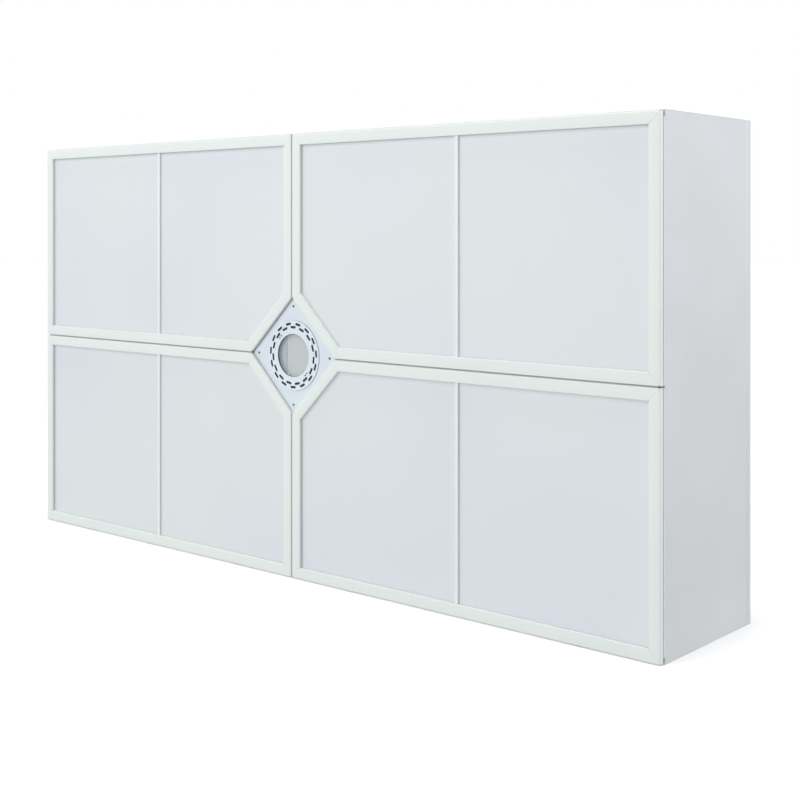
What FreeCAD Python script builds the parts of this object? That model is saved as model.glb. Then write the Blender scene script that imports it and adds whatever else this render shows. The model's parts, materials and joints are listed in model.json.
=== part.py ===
"""Laminar flow ceiling: the air outlet and light-tight lamp passage over an operating table.

It is modelled as it stands on one long narrow side, the way such a unit is stored and shown.
+X is the width, +Z is up, and the four diffuser doors face -Y.  In use the unit hangs with
the doors facing the floor, so -Y is then down and the back panel is its top.

Every piece is first drawn in unit coordinates: x from the vertical centre line, y from the
door faces towards the back, z from the horizontal centre line.  The last step moves all of
it so that the origin is at the middle of the underside of the whole box.
"""
import FreeCAD, Part
import math
import os

os.makedirs("parts", exist_ok=True)
V = FreeCAD.Vector

# Overall size, in millimetres
WIDTH = 2600.0
HEIGHT = 1400.0
DEPTH = 500.0

# Sheet metal casing
SHEET = 1.5
FRONT_FLANGE_W = 25.0
LAP_W = 20.0
LAP_GAP = 2.0

# Air inlets on the back panel
INLET_W = 400.0
INLET_H = 250.0
INLET_REACH = 60.0
INLET_WALL = 1.2
INLET_FLANGE_W = 25.0
INLET_X = 650.0

# Hanging brackets for M10 rods
BRACKET_T = 4.0
BRACKET_W = 50.0
BRACKET_RISE = 40.0
BRACKET_TOP_W = 60.0
BRACKET_FOOT_W = 30.0
ROD_HOLE_R = 6.0
ROD_EDGE_X = 150.0
ROD_EDGE_Z = 150.0

# Diffuser doors: a mitred extrusion round each quarter
DOOR_T = 15.0
DOOR_GAP = 5.0
DOOR_INSET = 3.0
SEAT_GAP = 4.0
FRAME_W = 34.0
FRAME_FACE_T = 2.0
FRAME_WALL = 1.8
BEVEL_W = 3.0
BEVEL_D = 1.5
LIP_T = 2.0
LIP_D = 9.0
GROOVE_W = 8.0
GROOVE_CLEAR = 0.3
MEMBRANE_T = 1.0

# White rib across each membrane
RIB_W = 12.0
RIB_FRONT_W = 9.0
RIB_T = 1.2
RIB_Y = 4.0

# Corner keys inside the extrusions
KEY_W = 8.0
KEY_REACH = 50.0
KEY_CLEAR = 0.2

# Hinges along the outer long edge of each door
HINGE_U = 7.0
HINGE_Y = 6.5
HINGE_FROM_END = 250.0
PIN_R = 2.0
PIN_L = 70.0
PIN_CLEAR = 0.05
BOSS_W = 7.0
BOSS_BACK = 3.5
CHANNEL_MOUTH = 2.4
LUG_W = 30.0
NOTCH_CLEAR = 0.5
NOTCH_SIDE_CLEAR = 1.0

# Spring clips that hold the free edge of each door
CLIP_W = 24.0
CLIP_T = 0.8
CLIP_OUT = 5.0
CLIP_Y = 6.0
CLIP_U = 6.0
CLIP_FOOT_GAP = 0.5
CLIP_TAIL = 2.0
CLIP_CLEAR = 1.2
CLIP_FROM_END = 300.0

# Door seals
SEAL_CLEAR = 1.0
SEAL_W = 6.0

# Lamp passage in the middle
SLEEVE_HALF = 100.0
CENTRE_FLANGE_HALF = 165.0
CENTRE_FLANGE_REACH = 190.0
COVER_HALF = 127.0
COVER_GAP = 4.0
COVER_Y = 10.0
COVER_HOLE_R = 106.0
RING_R = 111.0
RING_T = 2.0
RING_HOLE_R = 68.0
RING_COLLAR_D = 12.0
SLOT_COUNT = 15
SLOT_L = 21.0
SLOT_W = 7.0
SLOT_END_CUTS = 3
SLOT_OUTER_R = 100.0
SLOT_INNER_R = 89.0
SLOT_OUTER_START = -90.0
SLOT_INNER_START = 90.0
EYELET_R = 2.6
EYELET_CIRCLE_R = 79.5
EYELET_SPREAD = 10.0
EYELET_ANGLES = (135.0, -45.0)
BLANK_DEPTH = 70.0
BLANK_RIM = 12.0
SCREW_REACH = 155.5
SCREW_R = 2.0
SCREW_L = 14.0
SCREW_HEAD_R = 3.5
SCREW_HEAD_T = 1.6
SCREW_CLEAR = 0.1

# Cross members behind the door seams
MULLION_W = 60.0
MULLION_D = 31.0

# Filters and the deck that they seal against
DECK_Y = 225.0
DECK_T = 2.0
DECK_LEDGE = 15.0
DECK_FOLD = 20.0
DECK_RIM = 30.0
FILTER_T = 69.0
FILTER_GASKET_T = 6.0
FILTER_TO_SLEEVE = 1.5
FILTER_TO_WALL = 25.5
CASE_WALL = 2.0
CASE_LIP = 15.0
PLEAT_COUNT = 26
PLEAT_SKIN_Y = 6.0
PLEAT_GAP = 2.0
CLAMP_W = 30.0
CLAMP_T = 2.0
CLAMP_OVER = 12.0
CLAMP_FOOT = 15.0
CLAMP_CLEAR = 0.5

# How far a cutting block runs past what it cuts
SPARE = 1.0

# Places that follow from the sizes above
HALF_W = WIDTH / 2
HALF_H = HEIGHT / 2
CASING_Y = DOOR_T + SEAT_GAP
BACK_Y = DEPTH - SHEET
HINGE_Z = HALF_H - DOOR_INSET - HINGE_U
KNUCKLE_R = PIN_R + PIN_CLEAR + SHEET
SLEEVE_OUT = SLEEVE_HALF + SHEET
RING_Y = COVER_Y - RING_T
FILTER_NEAR = SLEEVE_OUT + FILTER_TO_SLEEVE
FILTER_FAR_X = HALF_W - SHEET - FILTER_TO_WALL
FILTER_FAR_Z = HALF_H - SHEET - FILTER_TO_WALL
FILTER_BACK = DECK_Y - FILTER_GASKET_T
FILTER_FRONT = FILTER_BACK - FILTER_T
CHAMBER_END = FRAME_W - LIP_T - GROOVE_W - FRAME_WALL

QUARTERS = {
    "upper_left": (-1, 1),
    "upper_right": (1, 1),
    "lower_left": (-1, -1),
    "lower_right": (1, -1),
}


def box(x0, x1, y0, y1, z0, z1):
    """A block between two corners."""
    return Part.makeBox(x1 - x0, y1 - y0, z1 - z0, V(x0, y0, z0))


def rod(radius, start, end):
    """A round bar from one point to another."""
    along = end - start
    return Part.makeCylinder(radius, along.Length, start, along)


def push_outline(points, along):
    """The closed outline through the points, pushed along a vector."""
    outline = Part.makePolygon(points + points[:1])
    return Part.Face(outline).extrude(along)


def prism_y(outline, y0, y1):
    """An (x, z) outline pushed through the depth."""
    return push_outline([V(x, y0, z) for x, z in outline], V(0, y1 - y0, 0))


def prism_x(outline, x0, x1):
    """A (y, z) outline pushed across the width."""
    return push_outline([V(x0, y, z) for y, z in outline], V(x1 - x0, 0, 0))


def prism_z(outline, z0, z1):
    """An (x, y) outline pushed up."""
    return push_outline([V(x, y, z0) for x, y in outline], V(0, 0, z1 - z0))


def mirror_x(shape):
    """The same piece on the other side of the vertical centre line."""
    return shape.mirror(V(0, 0, 0), V(1, 0, 0))


def mirror_z(shape):
    """The same piece on the other side of the horizontal centre line."""
    return shape.mirror(V(0, 0, 0), V(0, 0, 1))


def into_quarter(shape, side, level):
    """A piece of the upper right quarter, moved to the quarter that the signs name."""
    if side < 0:
        shape = mirror_x(shape)
    if level < 0:
        shape = mirror_z(shape)
    return shape


def in_all_quarters(shape):
    """A list of four copies of a piece of the upper right quarter."""
    return [into_quarter(shape, side, level) for side, level in QUARTERS.values()]


def group(shapes):
    """Separate solids that share one node."""
    solids = []
    for shape in shapes:
        solids.extend(shape.Solids)
    return Part.makeCompound(solids)


def save(name, shape):
    """Move a piece from unit coordinates to the part's own frame and write it."""
    placed = shape.copy()
    placed.translate(V(0, -(DEPTH + INLET_REACH) / 2, HALF_H))
    placed.exportStep("parts/" + name + ".step")


def door_outline(u):
    """The outline of the upper right door, u inside its edge, from the upper inner corner."""
    near = DOOR_GAP / 2 + u
    far_x = HALF_W - DOOR_INSET - u
    far_z = HALF_H - DOOR_INSET - u
    cut = math.sqrt(2) * (COVER_HALF + COVER_GAP + u)
    return [
        (near, far_z),
        (far_x, far_z),
        (far_x, near),
        (cut - near, near),
        (near, cut - near),
    ]


def door_band(u0, u1, y0, y1):
    """A closed band round the door between two distances from its edge."""
    return prism_y(door_outline(u0), y0, y1).cut(prism_y(door_outline(u1), y0, y1))


def frame_section():
    """The extrusion's outline as (u, y): bevelled face, hollow box, groove and lip."""
    groove_start = CHAMBER_END + FRAME_WALL
    lip_start = FRAME_W - LIP_T
    return [
        (0, BEVEL_D),
        (BEVEL_W, 0),
        (FRAME_W - BEVEL_W, 0),
        (FRAME_W, BEVEL_D),
        (FRAME_W, LIP_D),
        (lip_start, LIP_D),
        (lip_start, FRAME_FACE_T),
        (groove_start, FRAME_FACE_T),
        (groove_start, DOOR_T),
        (0, DOOR_T),
    ]


def chamber_section():
    """The hollow inside the extrusion, as (u, y)."""
    return [
        (FRAME_WALL, FRAME_FACE_T),
        (CHAMBER_END, FRAME_FACE_T),
        (CHAMBER_END, DOOR_T - FRAME_WALL),
        (FRAME_WALL, DOOR_T - FRAME_WALL),
    ]


def hinge_chamber_section():
    """The hollow of the hinge rail: the boss that carries the pins stands behind its face."""
    boss_back = HINGE_Y + BOSS_BACK
    return [
        (FRAME_WALL, FRAME_FACE_T),
        (HINGE_U - BOSS_W / 2, FRAME_FACE_T),
        (HINGE_U - BOSS_W / 2, boss_back),
        (HINGE_U + BOSS_W / 2, boss_back),
        (HINGE_U + BOSS_W / 2, FRAME_FACE_T),
        (CHAMBER_END, FRAME_FACE_T),
        (CHAMBER_END, DOOR_T - FRAME_WALL),
        (FRAME_WALL, DOOR_T - FRAME_WALL),
    ]


def frame_bar(index, hollow_section):
    """One bar of the door frame before its mitres are cut."""
    outline = door_outline(0)
    start = outline[index]
    end = outline[(index + 1) % len(outline)]
    length = math.dist(start, end)
    along = ((end[0] - start[0]) / length, (end[1] - start[1]) / length)
    inward = (along[1], -along[0])

    def at(u, y):
        x = start[0] - along[0] * FRAME_W + inward[0] * u
        z = start[1] - along[1] * FRAME_W + inward[1] * u
        return V(x, y, z)

    push = V(along[0], 0, along[1]) * (length + 2 * FRAME_W)
    outer = push_outline([at(u, y) for u, y in frame_section()], push)
    hollow = push_outline([at(u, y) for u, y in hollow_section], push)
    return outer.cut(hollow)


def mitre_block(index):
    """The space that one bar may fill: its mitres run from outer corner to inner corner."""
    outer = door_outline(0)
    inner = door_outline(FRAME_W)
    after = (index + 1) % len(outer)
    corners = [outer[index], outer[after], inner[after], inner[index]]
    return prism_y(corners, -SPARE, DOOR_T + SPARE)


def hinge_places():
    """The middle of each hinge along the width of the upper right door."""
    return [
        DOOR_GAP / 2 + HINGE_FROM_END,
        HALF_W - DOOR_INSET - HINGE_FROM_END,
    ]


def clip_places():
    """The middle of each spring clip along the width of the upper right door."""
    return [
        DOOR_GAP / 2 + CLIP_FROM_END,
        HALF_W - DOOR_INSET - CLIP_FROM_END,
    ]


def pin_channel():
    """The round channel along the boss, open at the back by less than a pin's width."""
    bore = hinge_rod(PIN_R + PIN_CLEAR, HALF_W / 2, HALF_W)
    half = CHANNEL_MOUTH / 2
    mouth = box(0, HALF_W, HINGE_Y, HINGE_Y + BOSS_BACK, HINGE_Z - half, HINGE_Z + half)
    return bore.fuse(mouth)


def hinge_rail():
    """The outer rail: pins slide in the channel of its boss, and it is notched at each lug."""
    bar = frame_bar(0, hinge_chamber_section()).cut(pin_channel())
    reach = KNUCKLE_R + NOTCH_CLEAR
    half = LUG_W / 2 + NOTCH_SIDE_CLEAR
    for x in hinge_places():
        notch = box(x - half, x + half, HINGE_Y - reach, DOOR_T, HINGE_Z - reach, HALF_H)
        bar = bar.cut(notch)
    return bar.common(mitre_block(0))


def clip_rail():
    """The inner rail: its back wall has a slot for each spring clip."""
    bar = plain_bar(2)
    half = CLIP_W / 2 + CLIP_CLEAR
    low = DOOR_GAP / 2 + CLIP_U - CLIP_OUT / 2 - CLIP_CLEAR
    high = DOOR_GAP / 2 + CLIP_U + CLIP_OUT / 2 + CLIP_CLEAR
    for x in clip_places():
        bar = bar.cut(box(x - half, x + half, DOOR_T - FRAME_WALL, DOOR_T, low, high))
    return bar


def plain_bar(index):
    """A mitred bar with nothing else in it."""
    return frame_bar(index, chamber_section()).common(mitre_block(index))


def corner_key(index, y0, y1):
    """A flat key bent to one corner of the door, its ends cut square."""
    outer = door_outline(CHAMBER_END - KEY_CLEAR - KEY_W)
    inner = door_outline(CHAMBER_END - KEY_CLEAR)
    bend = V(outer[index][0], y0, outer[index][1])
    inner_bend = V(inner[index][0], y0, inner[index][1])
    ends = []
    for other in (outer[index - 1], outer[(index + 1) % len(outer)]):
        along = (V(other[0], y0, other[1]) - bend).normalize()
        set_back = (inner_bend - bend).dot(along)
        ends.append((bend + along * KEY_REACH, inner_bend + along * (KEY_REACH - set_back)))
    (first, inner_first), (last, inner_last) = ends
    outline = [first, bend, last, inner_last, inner_bend, inner_first]
    return push_outline(outline, V(0, y1 - y0, 0))


def corner_keys():
    """One key in the hollow of the two bars that meet at each corner."""
    y0 = FRAME_FACE_T + KEY_CLEAR
    y1 = DOOR_T - FRAME_WALL - KEY_CLEAR
    return group([corner_key(index, y0, y1) for index in range(len(door_outline(0)))])


def membrane():
    """The diffuser cloth: stretched behind the lips, its edge over the groove."""
    edge = CHAMBER_END + FRAME_WALL + GROOVE_CLEAR
    return prism_y(door_outline(edge), LIP_D, LIP_D + MEMBRANE_T)


def spline():
    """The rubber bead in the groove that grips the cloth."""
    outer_u = CHAMBER_END + FRAME_WALL + GROOVE_CLEAR
    inner_u = FRAME_W - LIP_T - GROOVE_CLEAR
    return door_band(outer_u, inner_u, FRAME_FACE_T + GROOVE_CLEAR, LIP_D)


def rib():
    """The white channel that crosses the cloth from rail to rail."""
    middle = HALF_W / 2
    half = RIB_W / 2
    front = RIB_FRONT_W / 2
    side = half - front
    inside = half - RIB_T
    section = [
        (middle - half, LIP_D),
        (middle - half, RIB_Y + side),
        (middle - front, RIB_Y),
        (middle + front, RIB_Y),
        (middle + half, RIB_Y + side),
        (middle + half, LIP_D),
        (middle + inside, LIP_D),
        (middle + inside, RIB_Y + RIB_T),
        (middle - inside, RIB_Y + RIB_T),
        (middle - inside, LIP_D),
    ]
    return prism_z(section, DOOR_GAP / 2 + FRAME_W, HALF_H - DOOR_INSET - FRAME_W)


def hinge_rod(radius, x, length):
    """A round bar on the hinge line, centred at x."""
    return rod(radius, V(x - length / 2, HINGE_Y, HINGE_Z), V(x + length / 2, HINGE_Y, HINGE_Z))


def hinge_pins():
    """One steel pin through each lug, held in the channel on both sides of the notch."""
    return group([hinge_rod(PIN_R, x, PIN_L) for x in hinge_places()])


def hinge_lug(x):
    """A tab of the casing's flange, rolled into an eye round the pin."""
    half = LUG_W / 2
    front = CASING_Y + SHEET
    tab = box(x - half, x + half, HINGE_Y, front, HINGE_Z - SHEET / 2, HINGE_Z + SHEET / 2)
    return hinge_rod(KNUCKLE_R, x, LUG_W).fuse(tab).cut(hinge_rod(PIN_R + PIN_CLEAR, x, LUG_W))


def wall_section(outer):
    """A casing wall as (y, distance from the middle): flange, wall and stepped back edge."""
    step_y = DEPTH - LAP_W - LAP_GAP
    return [
        (CASING_Y, outer - FRONT_FLANGE_W),
        (CASING_Y, outer),
        (step_y - SHEET, outer),
        (step_y, outer - SHEET),
        (BACK_Y, outer - SHEET),
        (BACK_Y, outer - 2 * SHEET),
        (step_y - SHEET, outer - 2 * SHEET),
        (step_y - 2 * SHEET, outer - SHEET),
        (CASING_Y + SHEET, outer - SHEET),
        (CASING_Y + SHEET, outer - FRONT_FLANGE_W),
    ]


def back_panel():
    """The top in use: a shallow tray over the walls, open at the inlets and the lamp passage."""
    tray = box(-HALF_W, HALF_W, DEPTH - LAP_W, DEPTH, -HALF_H, HALF_H)
    in_x = HALF_W - SHEET
    in_z = HALF_H - SHEET
    tray = tray.cut(box(-in_x, in_x, DEPTH - LAP_W, BACK_Y, -in_z, in_z))
    for x in (-INLET_X, INLET_X):
        tray = tray.cut(box(x - INLET_W / 2, x + INLET_W / 2, BACK_Y, DEPTH, -INLET_H / 2, INLET_H / 2))
    return tray.cut(box(-SLEEVE_HALF, SLEEVE_HALF, BACK_Y, DEPTH, -SLEEVE_HALF, SLEEVE_HALF))


def upper_wall(tray):
    """The upper long wall, with the lugs of both upper doors on its flange."""
    wall = prism_x(wall_section(HALF_H), -HALF_W, HALF_W).cut(tray)
    lugs = []
    for x in hinge_places():
        lugs.append(hinge_lug(x))
        lugs.append(hinge_lug(-x))
    return wall.fuse(lugs).removeSplitter()


def right_wall(tray, upper, lower):
    """A short wall, trimmed where it meets the long walls and the tray."""
    section = [(away, y) for y, away in wall_section(HALF_W)]
    wall = prism_z(section, -HALF_H, HALF_H).cut(tray)
    return wall.cut([upper, lower]).Solids[0]


def central_flange_outline():
    """The eight-sided flange behind the cover plate, as (x, z)."""
    far = CENTRE_FLANGE_REACH
    near = math.sqrt(2) * CENTRE_FLANGE_HALF - far
    return [
        (far, near),
        (near, far),
        (-near, far),
        (-far, near),
        (-far, -near),
        (-near, -far),
        (near, -far),
        (far, -near),
    ]


def screw_places():
    """The four cover screws, one at each point of the diamond."""
    return [(SCREW_REACH, 0), (0, SCREW_REACH), (-SCREW_REACH, 0), (0, -SCREW_REACH)]


def drill_screws(shape):
    """Clearance holes for the cover screws."""
    for x, z in screw_places():
        shape = shape.cut(rod(SCREW_R + SCREW_CLEAR, V(x, 0, z), V(x, CASING_Y + SHEET, z)))
    return shape


def lamp_sleeve():
    """The square passage from the cover plate to the back panel, with its front flange."""
    tube = box(-SLEEVE_OUT, SLEEVE_OUT, CASING_Y, BACK_Y, -SLEEVE_OUT, SLEEVE_OUT)
    flange = prism_y(central_flange_outline(), CASING_Y, CASING_Y + SHEET)
    hollow = box(-SLEEVE_HALF, SLEEVE_HALF, CASING_Y, BACK_Y, -SLEEVE_HALF, SLEEVE_HALF)
    return drill_screws(tube.fuse(flange).cut(hollow))


def diamond(half):
    """A square on its point, as (x, z), from half the distance between its sides."""
    point = math.sqrt(2) * half
    return [(point, 0), (0, point), (-point, 0), (0, -point)]


def cover_plate():
    """The diamond tray over the sleeve's flange, with a round hole behind the ring."""
    tray = prism_y(diamond(COVER_HALF), COVER_Y, CASING_Y)
    inside = prism_y(diamond(COVER_HALF - SHEET), COVER_Y + SHEET, CASING_Y)
    hole = rod(COVER_HOLE_R, V(0, COVER_Y, 0), V(0, CASING_Y, 0))
    return drill_screws(tray.cut([inside, hole]))


def ring_slot(radius, angle):
    """One slot along the circle of the given radius, each end rounded by a few short cuts."""
    half_w = SLOT_W / 2
    straight = SLOT_L / 2 - half_w
    outline = []
    for middle, first in ((straight, 180.0), (-straight, 0.0)):
        for cut in range(SLOT_END_CUTS + 1):
            turn = math.radians(first - cut * 180.0 / SLOT_END_CUTS)
            outline.append((radius + half_w * math.cos(turn), middle + half_w * math.sin(turn)))
    slot = prism_y(outline, RING_Y, COVER_Y)
    slot.rotate(V(0, 0, 0), V(0, 1, 0), -angle)
    return slot


def slotted_ring():
    """The flat ring with two staggered rows of slots and a short collar round its hole."""
    plate = rod(RING_R, V(0, RING_Y, 0), V(0, COVER_Y, 0))
    collar = rod(RING_HOLE_R + SHEET, V(0, RING_Y, 0), V(0, RING_Y + RING_COLLAR_D, 0))
    hole = rod(RING_HOLE_R, V(0, RING_Y, 0), V(0, RING_Y + RING_COLLAR_D, 0))
    step = 360.0 / SLOT_COUNT
    cutters = [hole]
    for turn in range(SLOT_COUNT):
        cutters.append(ring_slot(SLOT_OUTER_R, SLOT_OUTER_START + turn * step))
        cutters.append(ring_slot(SLOT_INNER_R, SLOT_INNER_START + turn * step))
    spread = math.degrees(EYELET_SPREAD / 2 / EYELET_CIRCLE_R)
    for middle in EYELET_ANGLES:
        for angle in (middle - spread, middle + spread):
            x = EYELET_CIRCLE_R * math.cos(math.radians(angle))
            z = EYELET_CIRCLE_R * math.sin(math.radians(angle))
            cutters.append(rod(EYELET_R, V(x, RING_Y, z), V(x, COVER_Y, z)))
    return plate.fuse(collar).cut(cutters)


def blanking_plate():
    """The tray that closes the sleeve behind the ring."""
    y0 = RING_Y + BLANK_DEPTH
    half = SLEEVE_HALF
    inside = half - SHEET
    tray = box(-half, half, y0, y0 + BLANK_RIM, -half, half)
    return tray.cut(box(-inside, inside, y0 + SHEET, y0 + BLANK_RIM, -inside, inside))


def cover_screws():
    """Four pan-head screws through the cover plate into the flange."""
    screws = []
    for x, z in screw_places():
        head = rod(SCREW_HEAD_R, V(x, COVER_Y - SCREW_HEAD_T, z), V(x, COVER_Y, z))
        screws.append(head.fuse(rod(SCREW_R, V(x, COVER_Y, z), V(x, COVER_Y + SCREW_L, z))))
    return group(screws)


def mullion_section():
    """A channel as (offset from the seam, y), open towards the back."""
    half = MULLION_W / 2
    inside = half - SHEET
    back = CASING_Y + MULLION_D
    return [
        (-half, back),
        (-half, CASING_Y),
        (half, CASING_Y),
        (half, back),
        (inside, back),
        (inside, CASING_Y + SHEET),
        (-inside, CASING_Y + SHEET),
        (-inside, back),
    ]


def front_mullions():
    """Four channels behind the seams, from the sleeve to the casing walls."""
    upright = prism_z(mullion_section(), SLEEVE_OUT, HALF_H - SHEET)
    level = prism_x([(y, z) for z, y in mullion_section()], SLEEVE_OUT, HALF_W - SHEET)
    front = CASING_Y + SHEET
    centre = prism_y(central_flange_outline(), CASING_Y, front)
    upper_flange = box(-HALF_W, HALF_W, CASING_Y, front, HALF_H - FRONT_FLANGE_W, HALF_H)
    right_flange = box(HALF_W - FRONT_FLANGE_W, HALF_W, CASING_Y, front, -HALF_H, HALF_H)
    upright = upright.cut([centre, upper_flange])
    level = level.cut([centre, right_flange])
    return group([upright, mirror_z(upright), level, mirror_x(level)])


def door_seals():
    """A foam strip under the back of each door, clear of the edge that swings inwards."""
    start = 2 * HINGE_U + SEAL_CLEAR
    return group(in_all_quarters(door_band(start, start + SEAL_W, DOOR_T, CASING_Y)))


def catch_clips():
    """Spring clips on the level mullions, two for each door."""
    near = DOOR_GAP / 2 + CLIP_U - CLIP_OUT / 2
    far = near + CLIP_OUT
    foot = CASING_Y - CLIP_T
    section = [
        (CASING_Y, CLIP_FOOT_GAP),
        (foot, CLIP_FOOT_GAP),
        (foot, near),
        (CLIP_Y, near),
        (CLIP_Y, far),
        (CASING_Y - CLIP_TAIL, far),
        (CASING_Y - CLIP_TAIL, far - CLIP_T),
        (CLIP_Y + CLIP_T, far - CLIP_T),
        (CLIP_Y + CLIP_T, near + CLIP_T),
        (CASING_Y, near + CLIP_T),
    ]
    clips = []
    for x in clip_places():
        clips.extend(in_all_quarters(prism_x(section, x - CLIP_W / 2, x + CLIP_W / 2)))
    return group(clips)


def filter_hole(y0, y1, grow=0.0):
    """The opening of the deck behind the upper right filter, or a block that much larger."""
    near = FILTER_NEAR + DECK_LEDGE - grow
    far_x = FILTER_FAR_X - DECK_LEDGE + grow
    far_z = FILTER_FAR_Z - DECK_LEDGE + grow
    return box(near, far_x, y0, y1, near, far_z)


def filter_deck():
    """The welded deck between the filters and the air chamber, folded back round its holes."""
    half_x = HALF_W - SHEET
    half_z = HALF_H - SHEET
    back = DECK_Y + DECK_T
    plate = box(-half_x, half_x, DECK_Y, back, -half_z, half_z)
    rim = box(-half_x, half_x, back, back + DECK_RIM, -half_z, half_z)
    inner_x = half_x - DECK_T
    inner_z = half_z - DECK_T
    rim = rim.cut(box(-inner_x, inner_x, back, back + DECK_RIM, -inner_z, inner_z))
    folds = in_all_quarters(filter_hole(back, back + DECK_FOLD, DECK_T))
    holes = in_all_quarters(filter_hole(DECK_Y, back + DECK_FOLD))
    passage = box(-SLEEVE_OUT, SLEEVE_OUT, DECK_Y, back, -SLEEVE_OUT, SLEEVE_OUT)
    return plate.fuse([rim] + folds).cut(holes + [passage]).removeSplitter()


def filter_case():
    """The channel frame of one filter, open towards its pleats."""
    near = FILTER_NEAR
    wall = CASE_WALL
    lip = CASE_LIP
    frame = box(near, FILTER_FAR_X, FILTER_FRONT, FILTER_BACK, near, FILTER_FAR_Z)
    through = box(
        near + lip, FILTER_FAR_X - lip,
        FILTER_FRONT, FILTER_BACK,
        near + lip, FILTER_FAR_Z - lip,
    )
    inside = box(
        near + wall, FILTER_FAR_X - wall,
        FILTER_FRONT + wall, FILTER_BACK - wall,
        near + wall, FILTER_FAR_Z - wall,
    )
    return frame.cut([through, inside])


def filter_pack():
    """The pleated sheet of one filter, from wall to wall of its case."""
    start = FILTER_NEAR + CASE_WALL
    end = FILTER_FAR_X - CASE_WALL
    front = FILTER_FRONT + CASE_WALL + PLEAT_GAP
    back = FILTER_BACK - CASE_WALL - PLEAT_GAP - PLEAT_SKIN_Y
    step = (end - start) / (2 * PLEAT_COUNT)
    front_line = []
    for fold in range(2 * PLEAT_COUNT + 1):
        y = back if fold % 2 else front
        front_line.append((start + fold * step, y))
    back_line = [(x, y + PLEAT_SKIN_Y) for x, y in reversed(front_line)]
    return prism_z(front_line + back_line, FILTER_NEAR + CASE_WALL, FILTER_FAR_Z - CASE_WALL)


def filter_gasket():
    """The seal between one filter and the deck."""
    outer = box(FILTER_NEAR, FILTER_FAR_X, FILTER_BACK, DECK_Y, FILTER_NEAR, FILTER_FAR_Z)
    return outer.cut(filter_hole(FILTER_BACK, DECK_Y))


def clamp(x, edge_z, away):
    """A folded clip from the deck over the filter's edge; away is +1 or -1 out of the filter."""
    side = CLAMP_CLEAR
    front = FILTER_FRONT
    section = [
        (front - CLAMP_T, -CLAMP_OVER),
        (front - CLAMP_T, side + CLAMP_T),
        (DECK_Y - CLAMP_T, side + CLAMP_T),
        (DECK_Y - CLAMP_T, side + CLAMP_FOOT),
        (DECK_Y, side + CLAMP_FOOT),
        (DECK_Y, side),
        (front, side),
        (front, -CLAMP_OVER),
    ]
    section = [(y, edge_z + away * out) for y, out in section]
    return prism_x(section, x - CLAMP_W / 2, x + CLAMP_W / 2)


def filter_clamps():
    """Four clips for each filter, two on each long edge."""
    clips = []
    quarter_l = (FILTER_FAR_X - FILTER_NEAR) / 4
    for x in (FILTER_NEAR + quarter_l, FILTER_FAR_X - quarter_l):
        clips.extend(in_all_quarters(clamp(x, FILTER_FAR_Z, 1)))
        clips.extend(in_all_quarters(clamp(x, FILTER_NEAR, -1)))
    return group(clips)


def inlet_collar(x):
    """A rectangular spigot with a flange on the back panel."""
    half_w = INLET_W / 2
    half_h = INLET_H / 2
    out_w = half_w + INLET_WALL
    out_h = half_h + INLET_WALL
    rim_w = out_w + INLET_FLANGE_W
    rim_h = out_h + INLET_FLANGE_W
    neck = box(x - out_w, x + out_w, DEPTH, DEPTH + INLET_REACH, -out_h, out_h)
    flange = box(x - rim_w, x + rim_w, DEPTH, DEPTH + SHEET, -rim_h, rim_h)
    duct = box(x - half_w, x + half_w, DEPTH, DEPTH + INLET_REACH, -half_h, half_h)
    return neck.fuse(flange).cut(duct)


def hanging_bracket():
    """A bridge of folded plate with a hole for a hanging rod, near the upper right corner."""
    middle = HALF_W - ROD_EDGE_X
    level = HALF_H - ROD_EDGE_Z
    top = BRACKET_TOP_W / 2
    foot = top + BRACKET_FOOT_W
    inside = top - BRACKET_T
    rise = DEPTH + BRACKET_RISE
    section = [
        (middle - foot, DEPTH),
        (middle - foot, DEPTH + BRACKET_T),
        (middle - top, DEPTH + BRACKET_T),
        (middle - top, rise),
        (middle + top, rise),
        (middle + top, DEPTH + BRACKET_T),
        (middle + foot, DEPTH + BRACKET_T),
        (middle + foot, DEPTH),
        (middle + inside, DEPTH),
        (middle + inside, rise - BRACKET_T),
        (middle - inside, rise - BRACKET_T),
        (middle - inside, DEPTH),
    ]
    bridge = prism_z(section, level - BRACKET_W / 2, level + BRACKET_W / 2)
    return bridge.cut(rod(ROD_HOLE_R, V(middle, DEPTH, level), V(middle, rise, level)))


def build_doors():
    """All the pieces of the four doors, each door mirrored from the upper right one."""
    pieces = {
        "outer_rail": hinge_rail(),
        "outer_stile": plain_bar(1),
        "inner_rail": clip_rail(),
        "corner_rail": plain_bar(3),
        "inner_stile": plain_bar(4),
        "corner_keys": corner_keys(),
        "membrane": membrane(),
        "spline": spline(),
        "rib": rib(),
        "hinge_pins": hinge_pins(),
    }
    for quarter, (side, level) in QUARTERS.items():
        for piece, shape in pieces.items():
            save(quarter + "_" + piece, into_quarter(shape, side, level))


def build_casing():
    """The casing with everything that stays on it."""
    tray = back_panel()
    upper = upper_wall(tray)
    lower = mirror_z(upper)
    right = right_wall(tray, upper, lower)
    save("back_panel", tray)
    save("upper_side_panel", upper)
    save("lower_side_panel", lower)
    save("right_side_panel", right)
    save("left_side_panel", mirror_x(right))
    save("front_mullions", front_mullions())
    save("lamp_sleeve", lamp_sleeve())
    save("blanking_plate", blanking_plate())
    save("cover_plate", cover_plate())
    save("slotted_ring", slotted_ring())
    save("cover_screws", cover_screws())
    save("door_seals", door_seals())
    save("catch_clips", catch_clips())
    save("filter_deck", filter_deck())
    save("filter_cases", group(in_all_quarters(filter_case())))
    save("filter_packs", group(in_all_quarters(filter_pack())))
    save("filter_gaskets", group(in_all_quarters(filter_gasket())))
    save("filter_clamps", filter_clamps())
    save("inlet_collars", group([inlet_collar(-INLET_X), inlet_collar(INLET_X)]))
    save("hanging_brackets", group(in_all_quarters(hanging_bracket())))


build_doors()
build_casing()
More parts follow.
